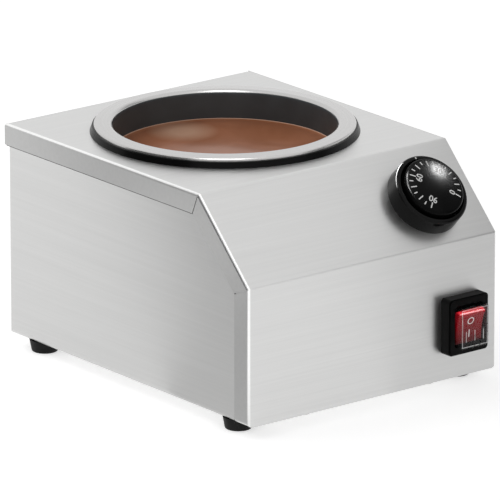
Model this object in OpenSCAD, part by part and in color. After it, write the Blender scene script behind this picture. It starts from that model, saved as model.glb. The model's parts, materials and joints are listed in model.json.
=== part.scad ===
// Chocolate melting tank: folded steel casing, lift-out pan in a heated well,
// dial thermostat on a sloping panel and a capped rocker switch on the front.

/* [Casing] */
// Width of the casing over the cover flanges
body_w = 200; // [195:1:230]
// Depth of the casing from the front panel to the rear flange
body_d = 250; // [245:1:290]
// Height of the casing without its feet
body_h = 140; // [136:1:165]
// Depth of the sloping control panel
slope_run = 50; // [47:1:56]
// Height of the sloping control panel
slope_rise = 50; // [47:1:56]
// Thickness of the casing sheet
sheet_t = 1; // [0.8:0.1:1.2]
// Inner radius of the cover's folds
fold_r = 1; // [0.6:0.1:1.5]
// Width of the cover's side flanges
flange_w = 14; // [12:1:18]
// Outer radius of the casing's lower and rear corners
heel_r = 4; // [3:0.5:6]
// Slit between two flanges at a bend
mitre_gap = 0.6; // [0.4:0.1:1]
// Width of the wrap's side folds under the base
side_fold_w = 24; // [22:1:30]
// Width of the wrap's rear fold under the base
rear_fold_w = 15; // [13:1:20]
// Length of one vent slot in the base
vent_l = 36; // [24:1:44]
// Width of one vent slot
vent_w = 4; // [3:0.5:5]
// Distance between vent slots
vent_step = 12; // [10:1:14]
// Vent slots in one row
vent_count = 5; // [3:1:6]

/* [Feet] */
// Height of a foot
foot_h = 8; // [6:1:14]
// Radius of a foot at its top
foot_top_r = 10; // [9:0.5:11]
// Radius of a foot at the ground
foot_low_r = 8.5; // [7.5:0.5:9]
// Distance of a foot's centre from the casing's side
foot_in_x = 12; // [11.5:0.5:14]
// Distance of a foot's centre from the casing's front and rear
foot_in_y = 25; // [22:1:32]

/* [Pan] */
// Inner radius of the pan
pan_r = 71.5; // [66:0.5:73]
// Thickness of the pan wall
pan_t = 0.8; // [0.6:0.1:1]
// Inside depth of the pan
pan_depth = 99; // [85:1:100]
// Radius of the pan's bottom corner
pan_corner_r = 12; // [8:1:16]
// Outer radius of the pan rim
pan_rim_r = 83.5; // [82:0.5:84.5]
// Fall of the rim towards its edge, in degrees
pan_rim_fall = 3.5; // [2:0.5:5]
// Inner radius of the bend under the rim
pan_lip_r = 2; // [1.5:0.5:3]
// Height of the rim's turned-down edge
pan_edge_h = 1.2; // [1:0.1:2]
// Level of the chocolate below the rim
fill_drop = 19; // [12:1:40]

/* [Collar and well] */
// Outer radius of the collar at the top plate
collar_r = 86; // [85.5:0.5:88]
// Height of the collar above the top plate
collar_h = 3.8; // [3:0.1:5]
// Draw of the collar's outer face
collar_draw = 1.4; // [1:0.1:2]
// Free space between pan and well
well_gap = 2.2; // [1.5:0.1:3]
// Thickness of the well wall
well_t = 1.2; // [1:0.1:1.5]
// Inside depth of the well
well_depth = 97; // [96:1:100]
// Radius of the well's bottom corner
well_corner_r = 12; // [8:1:14]
// Outer radius of the well's fixing flange
well_flange_r = 91; // [90:0.5:93]
// Studs that hold the well
stud_count = 4; // [4:1:6]

/* [Heating] */
// Thickness of the band heater
band_t = 2.5; // [2:0.1:3]
// Height of the band heater
band_h = 42; // [30:1:46]
// Half width of the band's opening at the front
band_gap = 5; // [4:0.5:7]
// Thickness of the insulating jacket
jacket_t = 9; // [6:0.5:10]
// Height of the insulating jacket
jacket_h = 50; // [47:1:54]
// Thickness of the insulating pad under the well
pad_t = 9; // [6:1:12]
// Radius of the thermal cutout
cutout_r = 8.5; // [7:0.5:10]

/* [Dial] */
// Distance of the dial from the casing's right side
dial_in_x = 41; // [38:1:50]
// Distance of the dial up the slope from its lower edge
dial_up = 33; // [31:0.5:37]
// Outer radius of the bezel
bezel_r = 25.5; // [24.5:0.5:28]
// Height of the bezel
bezel_h = 4.2; // [3.6:0.2:5]
// Radius of the knob at its foot
knob_r = 22.6; // [20:0.2:22.8]
// Radius of the knob's face
knob_face_r = 21.8; // [19:0.2:21.8]
// Height of the knob's edge above the panel
knob_edge_h = 15; // [13:0.5:16]
// Height of the knob's centre above the panel
knob_top_h = 17.6; // [16.5:0.2:20]
// Radius of the thermostat shaft
shaft_r = 3; // [2.5:0.1:3.5]

/* [Switch] */
// Distance of the switch from the casing's right side
switch_in_x = 29.5; // [26:0.5:36]
// Height of the switch above the casing's underside
switch_up = 36; // [30:1:44]
// Width of the switch frame
frame_w = 32; // [31:0.5:36]
// Height of the switch frame
frame_l = 37; // [36.5:0.5:42]
// Reach of the switch frame from the panel
frame_h = 8.5; // [7:0.5:9.5]
// Width of the clear cap
cap_w = 23; // [22.8:0.1:23.6]
// Height of the clear cap
cap_l = 27; // [26.5:0.1:27.6]
// Reach of the clear cap beyond its frame
cap_h = 6; // [5.5:0.5:8]
// Wall of the clear cap
cap_t = 0.8; // [0.6:0.1:1]
// Tilt of the rocker to each side, in degrees
rocker_tilt = 11; // [8:1:12]

/* [Cord gland] */
// Distance of the gland from the casing's right side
gland_in_x = 40; // [34:1:60]
// Height of the gland above the casing's underside
gland_up = 30; // [24:1:44]
// Radius of the gland's bore
gland_bore_r = 4; // [3:0.5:4.5]
// Thickness of the gland's hexagon
gland_hex_h = 5; // [4:0.5:6]
// Height of the gland's cap nut
gland_cap_h = 10; // [8:0.5:12]

/* [Hidden] */
$fn = 64;
// Facets of a wide circle under a thin piece
fine_fn = 360;
// Facets of a fold's arc
fold_steps = 6;
// Reach of a cut beyond the face that it opens
overrun = 1;
// Room around a fixed piece in its hole
fit = 0.2;
// Room around a shaft or pin that turns in its seat
running_fit = 0.05;
// Room between pieces that move past each other
travel_gap = 0.3;
// Hexagon in place of a circle
hex_sides = 6;

// Casing planes
switch_reach = frame_h + cap_h;
gland_reach = gland_hex_h + gland_cap_h - sheet_t;
body_y = (switch_reach - gland_reach) / 2;
y_front = body_y - body_d / 2;
y_rear = body_y + body_d / 2;
y_crest = y_front + slope_run;
z_floor = foot_h;
z_top = foot_h + body_h;
z_brow = z_top - slope_rise;
slope_tilt = atan2(slope_rise, slope_run);
fold_out = fold_r + sheet_t;
wrap_x = body_w / 2 - sheet_t;
wrap_y = y_rear - sheet_t;
base_z = z_floor + 2 * sheet_t;
lip_x = wrap_x - side_fold_w - fit;

// Cover seen from the side, from its rear edge over the top to its lower edge
rail = [[y_rear, z_top], [y_crest, z_top], [y_front, z_brow], [y_front, z_floor]];
rail_inner = shifted(rail, flange_w);
cover_path = concat([[y_rear, z_top - flange_w]], rail);

// Fasteners
screw_r = 2;
screw_head_r = 3.8;
screw_head_h = 2.2;
screw_past = 4;
nut_r = 4.04;
nut_h = 3.2;
screw_dome_share = 0.7;
cover_screw_share = 0.35;
flange_screw_share = 0.6;
cover_screw_z = z_top - flange_w * flange_screw_share;
base_screw_x = 50;
base_lip_y = y_front + flange_w / 2;
base_rear_y = wrap_y - rear_fold_w * flange_screw_share;

// Feet
foot_x = body_w / 2 - foot_in_x;
foot_front_y = y_front + foot_in_y;
foot_rear_y = y_rear - foot_in_y;
foot_bore_r = screw_r + fit;
foot_well_r = screw_head_r + travel_gap;
foot_well_h = 4;
foot_edge_r = 1.2;

// Pan and well, round the pan's axis
pan_y = (y_crest + y_rear) / 2;
pan_out_r = pan_r + pan_t;
seat_z = z_top + collar_h;
rim_drop = (pan_rim_r - pan_t - pan_out_r) * tan(pan_rim_fall);
rim_under_z = seat_z + pan_edge_h + rim_drop;
rim_top_z = rim_under_z + pan_t;
pan_low_z = rim_top_z - pan_depth - pan_t;
fill_z = rim_top_z - fill_drop;
fill_gap = 0.1;
edge_bend_share = 0.25;
pan_path = [[0, pan_low_z], [pan_out_r, pan_low_z], [pan_out_r, rim_under_z],
    [pan_rim_r - pan_t, rim_under_z - rim_drop], [pan_rim_r - pan_t, seat_z]];
pan_bends = [0, pan_corner_r, pan_lip_r, pan_edge_h * edge_bend_share, 0];
well_r = pan_out_r + well_gap;
well_out_r = well_r + well_t;
well_seat_z = z_top - sheet_t;
well_low_z = well_seat_z - well_depth - well_t;
hole_ledge = 1.6;
hole_r = well_out_r + hole_ledge;
well_path = [[0, well_low_z], [well_out_r, well_low_z], [well_out_r, well_seat_z - well_t],
    [well_flange_r, well_seat_z - well_t]];
well_bends = [0, well_corner_r, pan_lip_r, 0];
stud_shift = 0.8;
stud_ring_r = (well_out_r + well_flange_r) / 2 + stud_shift;
stud_r = 2;
stud_l = 9;

// Heating
band_z = well_low_z + well_corner_r;
band_out_r = well_out_r + band_t;
jacket_z = band_z - (jacket_h - band_h) / 2;
jacket_r = band_out_r + jacket_t;
lug_t = 1.5;
lug_l = 13;
lug_h = 16;
lug_z = band_z + band_h / 2;
lug_screw_r = 1.6;
lug_screw_share = 0.55;
lug_screw_y = pan_y - band_out_r - lug_l * lug_screw_share;
lug_head_r = 3.2;
lug_head_h = 2.4;
window_x = 22;
post_x = 14;
post_r = 2.2;
post_foot_r = 3.2;
post_l = 9;
post_share = 0.7;
post_z = band_z + band_h * post_share;
post_y = pan_y - sqrt(pow(band_out_r, 2) - pow(post_x - post_foot_r, 2));
pad_r = well_out_r - well_corner_r;
pad_room = 4;
pad_hole_r = cutout_r + pad_room;
pad_z = well_low_z - pad_t;
cutout_h = 5;
cutout_body_h = 8;
cutout_rim = 2;
blade_w = 6.3;
blade_t = 0.8;
blade_l = 8;
cutout_blade_x = 4;
cutout_low_z = well_low_z - cutout_h - cutout_body_h;

// Dial and thermostat, in the frame of the sloping panel
dial_x = body_w / 2 - dial_in_x;
dial_at = [dial_x, y_front + dial_up * cos(slope_tilt), z_brow + dial_up * sin(slope_tilt)];
bezel_floor = 1.2;
bezel_wall_r = knob_r + travel_gap;
bezel_chamfer = 1;
knob_foot_h = bezel_floor + screw_head_h + travel_gap;
knob_edge_r = 1.6;
knob_foot_r = 0.6;
knob_dome_r = 40;
knob_dome_share = 0.55;
knob_dome_rise = 0.75;
knob_wall = 2;
knob_boss_r = 7;
knob_grip_h = 3.4;
shaft_flat = 1;
shaft_top_h = knob_top_h - knob_grip_h;
shaft_in = 9;
plate_t = 1.5;
plate_w = 40;
plate_l = 24;
stat_w = 32;
stat_l = 30;
stat_h = 24;
stat_edge_r = 3;
stat_low = sheet_t + plate_t + stat_h;
stat_screw_x = 14;
bush_r = 5;
stat_blade_x = 8;
stat_way = [0, sin(slope_tilt), -cos(slope_tilt)];

// Sensor on the well, in the direction of the thermostat
bulb_turn = -66;
bulb_r = 3;
bulb_l = 26;
bulb_above = 2;
bulb_z = jacket_z + jacket_h + bulb_above;
bulb_ring_r = well_out_r + fit + bulb_r;
clip_t = 0.8;
clip_h = 8;
clip_ear = 6;
capillary_r = 0.9;
capillary_rise = 3;

// Rocker switch, in the frame of the front panel
switch_at = [body_w / 2 - switch_in_x, y_front, z_floor + switch_up];
frame_edge_r = 2.5;
frame_chamfer = 0.8;
block_w = 21.6;
block_l = 27.6;
block_h = 22;
block_flange = 2.6;
block_flange_h = 1.5;
cap_flange_h = 0.8;
cap_flange = 1.6;
cap_edge_r = 2;
pocket_h = block_flange_h + cap_flange_h;
rocker_w = 18.4;
rocker_half = 9.8;
rocker_end_h = 7;
rocker_dip_h = 5;
rocker_foot_half = 7.6;
rocker_foot_h = 2.4;
pivot_h = 3;
pivot_r = 1.2;
pivot_reach = 0.9;
cheek_gap = 0.2;
cheek_l = 7;
cheek_cover = 1;
cheek_top = pivot_h + pivot_r + cheek_cover;
rocker_well_half = 11.9;
rocker_well_floor = 2;
switch_blade_x = 5;
switch_blade_y = 7;
rib_count = 5;
rib_w = 0.8;
rib_h = 0.3;

// Cord gland, in the frame of the rear wall
gland_x = body_w / 2 - gland_in_x;
gland_z = z_floor + gland_up;
gland_hex_r = 11;
gland_thread_r = 6.2;
gland_thread_l = 10;
gland_cap_r = 9;
gland_dome_r = 3.5;
lock_nut_r = 9.5;
lock_nut_h = 4;

// Mains terminals and leads
block_in_x = 4;
block_in_y = 48;
block_x = gland_x - block_in_x;
block_y = wrap_y - block_in_y;
pole_step = 10;
pole_count = 3;
pole_w = 8.4;
pole_l = 18;
pole_h = 14;
pole_bore_r = 2;
pole_bore_up = 5;
pole_bore_z = base_z + pole_bore_up;
web_h = 5;
earth_in_x = 36;
earth_in_y = 30;
earth_x = gland_x - earth_in_x;
earth_y = wrap_y - earth_in_y;
earth_r = 2;
earth_l = 12;
washer_r = 5;
washer_h = 1;
lead_r = 1.2;
lead_sides = 8;
lead_steps = 3;
lead_stub = 6;
lead_ring_step = 7;
lead_up = 8;
lead_low_z = base_z + lead_up;
lane_gap = 10;
lane_y = pan_y - jacket_r - lane_gap;

function unit(v) = v / norm(v);
function turned(v) = [-v.y, v.x];
function heading(p, i) = unit(p[i + 1] - p[i]);
function came(p, i) = heading(p, max(i - 1, 0));
function goes(p, i) = heading(p, min(i, len(p) - 2));
function side(p, i) = sign(cross(came(p, i), goes(p, i)));
function reversed(p) = [for (i = [len(p) - 1 : -1 : 0]) p[i]];

// Open path moved to its left by d
function shifted(p, d) = [for (i = [0 : len(p) - 1])
    let (a = turned(came(p, i)), b = turned(goes(p, i)))
    p[i] + d * (a + b) / (1 + a * b)];

// Arc of radius r in the corner i of a path
function bend(p, i, r) =
    let (u = came(p, i), v = goes(p, i), s = side(p, i))
    let (c = p[i] + s * r * (turned(u) + turned(v)) / (1 + u * v))
    [for (k = [0 : fold_steps])
        let (a = acos(u * v) * k / fold_steps)
        c - s * r * (cos(a) * turned(u) - s * sin(a) * u)];

// Open path with its corners rounded to the radii in rr
function eased(p, rr) = [for (i = [0 : len(p) - 1])
    each (side(p, i) == 0 || rr[i] <= 0 ? [p[i]] : bend(p, i, rr[i]))];

// Outline of a strip of thickness t to the left of a path, rr being the path's own bend radii
function strip(p, rr, t) = concat(
    eased(p, rr),
    reversed(eased(shifted(p, t), [for (i = [0 : len(p) - 1]) rr[i] > 0 ? rr[i] - side(p, i) * t : 0])));

// Direction of a path at its point i, halfway between the two spans that meet there
function bearing_at(p, i) = unit(
    unit(p[min(i + 1, len(p) - 1)] - p[min(i, len(p) - 2)])
    + unit(p[max(i, 1)] - p[max(i - 1, 0)]));

// Smooth curve through a list of points
function spline(p) = concat([for (i = [0 : len(p) - 2])
    let (b = p[i], way = p[i + 1] - b, far = norm(way))
    let (u = far * bearing_at(p, i), v = far * bearing_at(p, i + 1))
    let (steps = max(lead_steps, ceil(far / lead_ring_step)))
    for (k = [0 : steps - 1])
    let (s = k / steps)
    b + s * (u + s * (3 * way - 2 * u - v + s * (u + v - 2 * way)))],
    [p[len(p) - 1]]);

// Straight start of a lead, from a terminal along a way
function stub(a, way) = [a, a + way / 2, a + way];

// Directions along a curve, and a side direction carried along it without twist
function along(p) = [for (i = [0 : len(p) - 1]) unit(p[min(i + 1, len(p) - 1)] - p[max(i - 1, 0)])];
function carried(d) = [for (
    i = 0, u = unit(cross(d[0], [d[0].y, d[0].z, -d[0].x]));
    i < len(d);
    i = i + 1, u = i < len(d) ? unit(u - (u * d[i]) * d[i]) : u) u];

module both_sides() {
    children();
    mirror([1, 0, 0]) children();
}

module along_x(width) {
    translate([-width / 2, 0, 0])
        rotate([90, 0, 90])
            linear_extrude(width)
                children();
}

module along_y(from, length) {
    translate([0, from + length, 0])
        rotate([90, 0, 0])
            linear_extrude(length)
                children();
}

module on_slope() {
    translate(dial_at)
        rotate([slope_tilt, 0, 0])
            children();
}

module on_front() {
    translate(switch_at)
        rotate([90, 0, 0])
            children();
}

module on_rear(x, z) {
    translate([x, wrap_y, z])
        rotate([-90, 0, 0])
            children();
}

module on_pan() {
    translate([0, pan_y, 0])
        children();
}

module at_feet() {
    for (x = [-foot_x, foot_x], y = [foot_front_y, foot_rear_y])
        translate([x, y, 0])
            children();
}

module at_base_screws() {
    for (x = [-base_screw_x, base_screw_x], y = [base_lip_y, base_rear_y])
        translate([x, y, z_floor])
            children();
}

module at_cover_screws() {
    for (s = [-1, 1])
        translate([s * body_w * cover_screw_share, y_rear, cover_screw_z])
            rotate([90, 0, 0])
                children();
}

module at_studs() {
    on_pan()
        for (i = [0 : stud_count - 1])
            rotate([0, 0, 360 * (i + 0.5) / stud_count])
                translate([stud_ring_r, 0, well_seat_z])
                    children();
}

// Pan-head screw whose head sits under z = 0 and whose shank points up
module screw(shank_r, head_r, head_h, length) {
    rotate_extrude()
        polygon(eased([[0, length], [0, -head_h], [head_r, -head_h], [head_r, 0], [shank_r, 0],
            [shank_r, length]], [0, 0, head_h * screw_dome_share, 0, 0, 0]));
}

module hex_nut(across_r, height, bore_r) {
    difference() {
        cylinder(h = height, r = across_r, $fn = hex_sides);
        translate([0, 0, -overrun])
            cylinder(h = height + 2 * overrun, r = bore_r);
    }
}

module rounded_square(w, l, r) {
    square([w - 2 * r, l], center = true);
    square([w, l - 2 * r], center = true);
    for (x = [-1, 1], y = [-1, 1])
        translate([x * (w / 2 - r), y * (l / 2 - r)])
            circle(r);
}

module blade(length) {
    translate([-blade_w / 2, -blade_t / 2, -length])
        cube([blade_w, blade_t, length]);
}

// Tube of radius r swept along a curve through hand-placed points
module swept_tube(points, r) {
    p = spline(points);
    d = along(p);
    u = carried(d);
    n = lead_sides;
    m = len(p);
    rings = [for (i = [0 : m - 1], k = [0 : n - 1])
        p[i] + r * (cos(360 * k / n) * u[i] + sin(360 * k / n) * cross(d[i], u[i]))];
    skin = [for (i = [0 : m - 2], k = [0 : n - 1])
        let (a = i * n + k, b = i * n + (k + 1) % n)
        each [[a, b + n, b], [a, a + n, b + n]]];
    ends = concat([for (k = [1 : n - 2]) [0, k, k + 1]],
        [for (k = [1 : n - 2]) [(m - 1) * n, (m - 1) * n + k + 1, (m - 1) * n + k]]);
    polyhedron(rings, concat(skin, ends));
}

// One side flange of the cover, along the stretch k of its rail
module side_flange(k) {
    run = rail[k + 1] - rail[k];
    bend_outer = [for (i = [0 : fold_steps])
        let (a = 270 - 90 * i / fold_steps)
        [fold_out + fold_out * cos(a), fold_out + fold_out * sin(a)]];
    bend_inner = [for (i = [0 : fold_steps])
        let (a = 180 + 90 * i / fold_steps)
        [fold_out + fold_r * cos(a), fold_out + fold_r * sin(a)]];
    intersection() {
        along_x(body_w)
            polygon([rail[k], rail[k + 1], rail_inner[k + 1], rail_inner[k]]);
        translate([-body_w / 2, rail[k + 1].x, rail[k + 1].y])
            rotate([atan2(run.y, run.x) + 90, 0, 0])
                translate([0, 0, -overrun])
                    linear_extrude(norm(run) + 2 * overrun)
                        polygon(concat(bend_outer,
                            [[0, flange_w + overrun], [sheet_t, flange_w + overrun]], bend_inner));
    }
}

// Slit along the mitre of two side flanges at the bend k
module mitre_slit(k) {
    a = shifted(rail, fold_out)[k];
    b = shifted(rail, flange_w + overrun)[k];
    s = turned(unit(b - a)) * mitre_gap / 2;
    translate([-body_w / 2 - overrun, 0, 0])
        rotate([90, 0, 90])
            linear_extrude(sheet_t + 2 * overrun)
                polygon([a - s, b - s, b + s, a + s]);
}

// Waste outside the rounded lower corner of the front panel
module toe_waste() {
    translate([-body_w / 2, 0, z_floor])
        along_y(y_front - overrun, flange_w + 2 * overrun)
            difference() {
                translate([-overrun, -overrun])
                    square(heel_r + overrun);
                translate([heel_r, heel_r])
                    circle(heel_r);
            }
}

module outer_cover() {
    color("silver")
        difference() {
            union() {
                along_x(body_w - 2 * fold_out)
                    polygon(strip(cover_path, [0, fold_out, fold_out, fold_out, 0], sheet_t));
                both_sides()
                    for (k = [0 : len(rail) - 2])
                        side_flange(k);
                translate([-lip_x, y_front, z_floor])
                    cube([2 * lip_x, flange_w, sheet_t]);
            }
            both_sides() {
                for (k = [1 : len(rail) - 2])
                    mitre_slit(k);
                toe_waste();
            }
            on_pan()
                translate([0, 0, z_top - sheet_t - overrun])
                    cylinder(h = sheet_t + 2 * overrun, r = hole_r);
            on_slope()
                translate([0, 0, -sheet_t - overrun]) {
                    cylinder(h = sheet_t + 2 * overrun, r = bush_r + fit);
                    for (x = [-stat_screw_x, stat_screw_x])
                        translate([x, 0, 0])
                            cylinder(h = sheet_t + 2 * overrun, r = screw_r + fit);
                }
            on_front()
                translate([0, 0, -sheet_t - overrun])
                    linear_extrude(sheet_t + 2 * overrun)
                        square([block_w + 2 * fit, block_l + 2 * fit], center = true);
            at_cover_screws()
                translate([0, 0, -overrun])
                    cylinder(h = sheet_t + 2 * overrun, r = screw_r + fit);
            at_base_screws()
                translate([0, 0, -overrun])
                    cylinder(h = sheet_t + 2 * overrun, r = screw_r + fit);
        }
}

// Casing outlines at a distance d inside the wrap's outer faces
module wrap_plan(d, front) {
    path = [[wrap_x, front], [wrap_x, wrap_y], [-wrap_x, wrap_y], [-wrap_x, front]];
    polygon(eased(shifted(path, d), [0, heel_r - d, heel_r - d, 0]));
}

module wrap_end(d) {
    path = [[-wrap_x, z_top], [-wrap_x, z_floor], [wrap_x, z_floor], [wrap_x, z_top]];
    polygon(eased(shifted(path, d), [0, heel_r - d, heel_r - d, 0]));
}

module wrap_block(d, profile, front) {
    intersection() {
        translate([0, 0, z_floor])
            linear_extrude(body_h)
                wrap_plan(d, front);
        along_x(body_w)
            polygon(profile);
        along_y(y_front - overrun, body_d + overrun)
            wrap_end(d);
    }
}

module body_wrap() {
    edge = shifted(rail, fold_out);
    heel = [[edge[3].x, z_floor], [wrap_y, z_floor], [wrap_y, z_top - fold_out]];
    outer = concat(eased(heel, [0, heel_r, 0]), [edge[1], edge[2]]);
    hollow = [[y_front - overrun, z_floor + sheet_t], [wrap_y - sheet_t, z_floor + sheet_t],
        [wrap_y - sheet_t, z_top + overrun]];
    inner = concat(eased(hollow, [0, heel_r - sheet_t, 0]), [[y_front - overrun, z_top + overrun]]);
    color("gainsboro")
        difference() {
            wrap_block(0, outer, y_front + sheet_t);
            wrap_block(sheet_t, inner, y_front - overrun);
            translate([-wrap_x + side_fold_w, y_front - overrun, z_floor - overrun])
                cube([2 * (wrap_x - side_fold_w), wrap_y - rear_fold_w - y_front + overrun,
                    sheet_t + 2 * overrun]);
            at_feet()
                translate([0, 0, z_floor - overrun])
                    cylinder(h = sheet_t + 2 * overrun, r = screw_r + fit);
            at_base_screws()
                translate([0, 0, -overrun])
                    cylinder(h = sheet_t + 2 * overrun, r = screw_r + fit);
            at_cover_screws()
                cylinder(h = 2 * sheet_t + overrun, r = screw_r + fit);
            on_rear(gland_x, gland_z)
                translate([0, 0, -sheet_t - overrun])
                    cylinder(h = sheet_t + 2 * overrun, r = gland_thread_r + fit);
        }
}

module vent_slot() {
    translate([0, 0, base_z - sheet_t - overrun])
        linear_extrude(sheet_t + 2 * overrun) {
            square([vent_w, vent_l - vent_w], center = true);
            for (s = [-1, 1])
                translate([0, s * (vent_l - vent_w) / 2])
                    circle(vent_w / 2);
        }
}

module base_plate() {
    half = wrap_x - heel_r;
    front = y_front + fold_out;
    color("gainsboro")
        difference() {
            translate([-half, front, base_z - sheet_t])
                cube([2 * half, wrap_y - heel_r - front, sheet_t]);
            for (i = [0 : vent_count - 1], s = [-1, 1])
                translate([(i - (vent_count - 1) / 2) * vent_step, body_y + s * (vent_l + vent_step) / 2, 0])
                    vent_slot();
            at_feet()
                translate([0, 0, z_floor])
                    cylinder(h = base_z, r = screw_r + fit);
            at_base_screws()
                cylinder(h = base_z, r = screw_r + fit);
            translate([earth_x, earth_y, z_floor])
                cylinder(h = base_z, r = earth_r + fit);
        }
}

module base_screws() {
    color("dimgray")
        at_base_screws()
            screw(screw_r, screw_head_r, screw_head_h, 2 * sheet_t + screw_past);
}

module cover_screws() {
    color("dimgray")
        at_cover_screws()
            screw(screw_r, screw_head_r, screw_head_h, 2 * sheet_t + screw_past);
}

module foot() {
    color("black")
        difference() {
            rotate_extrude()
                polygon(eased([[0, foot_h], [0, 0], [foot_low_r, 0], [foot_top_r, foot_h]],
                    [0, 0, foot_edge_r, 0]));
            translate([0, 0, -overrun])
                cylinder(h = foot_h + 2 * overrun, r = foot_bore_r);
            translate([0, 0, -overrun])
                cylinder(h = foot_well_h + overrun, r = foot_well_r);
        }
}

module foot_front_left() {
    translate([-foot_x, foot_front_y, 0])
        foot();
}

module foot_front_right() {
    translate([foot_x, foot_front_y, 0])
        foot();
}

module foot_rear_left() {
    translate([-foot_x, foot_rear_y, 0])
        foot();
}

module foot_rear_right() {
    translate([foot_x, foot_rear_y, 0])
        foot();
}

module foot_screws() {
    color("dimgray")
        at_feet()
            translate([0, 0, foot_well_h])
                screw(screw_r, screw_head_r, screw_head_h, base_z - foot_well_h + nut_h + fit);
}

module foot_nuts() {
    color("dimgray")
        at_feet()
            translate([0, 0, base_z])
                hex_nut(nut_r, nut_h, screw_r + running_fit);
}

// Black ring that carries the pan rim and closes the edge of the hole
module pan_collar() {
    inner = well_r + fit;
    color("black")
        on_pan()
            rotate_extrude()
                polygon(eased([[inner, seat_z], [inner, z_top - sheet_t], [hole_r - fit, z_top - sheet_t],
                    [hole_r - fit, z_top], [collar_r, z_top], [collar_r - collar_draw, seat_z]],
                    [0, 0, 0, 0, 0, 0]));
}

module heat_well() {
    color("lightgray")
        difference() {
            on_pan()
                rotate_extrude()
                    polygon(strip(well_path, well_bends, well_t));
            at_studs()
                translate([0, 0, -well_t - overrun])
                    cylinder(h = well_t + 2 * overrun, r = stud_r + fit);
        }
}

module well_studs() {
    color("dimgray")
        at_studs()
            translate([0, 0, -stud_l])
                cylinder(h = stud_l, r = stud_r);
}

module well_nuts() {
    color("dimgray")
        at_studs()
            translate([0, 0, -well_t - nut_h])
                hex_nut(nut_r, nut_h, stud_r + running_fit);
}

module band_heater() {
    color("darkgray")
        on_pan()
            difference() {
                union() {
                    difference() {
                        translate([0, 0, band_z])
                            cylinder(h = band_h, r = band_out_r);
                        translate([-band_gap, -band_out_r - overrun, band_z - overrun])
                            cube([2 * band_gap, band_out_r, band_h + 2 * overrun]);
                    }
                    both_sides()
                        translate([band_gap, -band_out_r - lug_l + band_t, lug_z - lug_h / 2])
                            cube([lug_t, lug_l, lug_h]);
                }
                translate([0, 0, band_z - overrun])
                    cylinder(h = band_h + 2 * overrun, r = well_out_r);
                translate([-band_gap - lug_t - overrun, lug_screw_y - pan_y, lug_z])
                    rotate([0, 90, 0])
                        cylinder(h = 2 * (band_gap + lug_t + overrun), r = lug_screw_r + fit);
            }
}

module band_bolt() {
    half = band_gap + lug_t;
    color("dimgray")
        translate([-half, lug_screw_y, lug_z])
            rotate([0, 90, 0]) {
                screw(lug_screw_r, lug_head_r, lug_head_h, 2 * half + nut_h);
                translate([0, 0, 2 * half])
                    hex_nut(lug_head_r, lug_head_h, lug_screw_r);
            }
}

module heater_posts() {
    color("ivory")
        both_sides()
            translate([post_x, post_y, post_z])
                rotate([90, 0, 0])
                    rotate_extrude()
                        polygon([[0, 0], [post_foot_r, 0], [post_foot_r, post_l / 2],
                            [post_r, post_l / 2], [post_r, post_l], [0, post_l]]);
}

module insulation_jacket() {
    color("khaki")
        on_pan()
            difference() {
                translate([0, 0, jacket_z])
                    cylinder(h = jacket_h, r = jacket_r);
                translate([0, 0, jacket_z - overrun])
                    cylinder(h = jacket_h + 2 * overrun, r = band_out_r);
                translate([-window_x, -jacket_r - overrun, jacket_z - overrun])
                    cube([2 * window_x, jacket_r, jacket_h + 2 * overrun]);
            }
}

module insulation_pad() {
    color("khaki")
        on_pan()
            difference() {
                translate([0, 0, pad_z])
                    cylinder(h = pad_t, r = pad_r);
                translate([0, 0, pad_z - overrun])
                    cylinder(h = pad_t + 2 * overrun, r = pad_hole_r);
            }
}

module thermal_cutout() {
    color("dimgray")
        on_pan()
            rotate_extrude()
                polygon([[0, well_low_z], [cutout_r + cutout_rim, well_low_z],
                    [cutout_r + cutout_rim, well_low_z - cutout_rim], [cutout_r, well_low_z - cutout_rim],
                    [cutout_r, well_low_z - cutout_h], [cutout_r - cutout_rim / 2, well_low_z - cutout_h],
                    [cutout_r - cutout_rim / 2, cutout_low_z], [0, cutout_low_z]]);
}

module cutout_blades() {
    color("silver")
        on_pan()
            for (x = [-cutout_blade_x, cutout_blade_x])
                translate([x, 0, cutout_low_z])
                    rotate([0, 0, 90])
                        blade(blade_l);
}

module on_bulb() {
    on_pan()
        rotate([0, 0, bulb_turn])
            translate([bulb_ring_r, 0, bulb_z])
                children();
}

module sensor_bulb() {
    color("peru")
        on_bulb()
            rotate_extrude()
                polygon(eased([[0, bulb_l], [0, 0], [bulb_r, 0], [bulb_r, bulb_l]],
                    [0, 0, bulb_r / 2, 0]));
}

// Spring clip round the bulb, spot welded to the well by its two ears
module bulb_clip() {
    bore_r = bulb_r + running_fit;
    hug_r = well_out_r + running_fit;
    color("silver")
        on_pan()
            rotate([0, 0, bulb_turn])
                translate([0, 0, bulb_z + (bulb_l - clip_h) / 2])
                    difference() {
                        union() {
                            intersection() {
                                cylinder(h = clip_h, r = hug_r + clip_t, $fn = fine_fn);
                                translate([0, -bore_r - clip_ear, 0])
                                    cube([hug_r + bulb_r, 2 * (bore_r + clip_ear), clip_h]);
                            }
                            translate([bulb_ring_r, 0, 0])
                                cylinder(h = clip_h, r = bore_r + clip_t);
                        }
                        translate([0, 0, -overrun])
                            cylinder(h = clip_h + 2 * overrun, r = hug_r, $fn = fine_fn);
                        translate([bulb_ring_r, 0, -overrun])
                            cylinder(h = clip_h + 2 * overrun, r = bore_r);
                    }
}

module capillary_tube() {
    out = [cos(bulb_turn), sin(bulb_turn), 0];
    low = [0, pan_y, bulb_z + bulb_l] + bulb_ring_r * out;
    stat = dial_at - [stat_w / 2, 0, 0] + (stat_low - stat_h / 2) * stat_way;
    color("peru")
        swept_tube(concat(
            [low, low + [0, 0, capillary_rise], low + lead_stub * out + [0, 0, 2 * capillary_rise],
                (low + stat) / 2 - [lead_stub, lead_stub, 0]],
            reversed(stub(stat, [-lead_stub, 0, 0]))), capillary_r);
}

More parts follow.
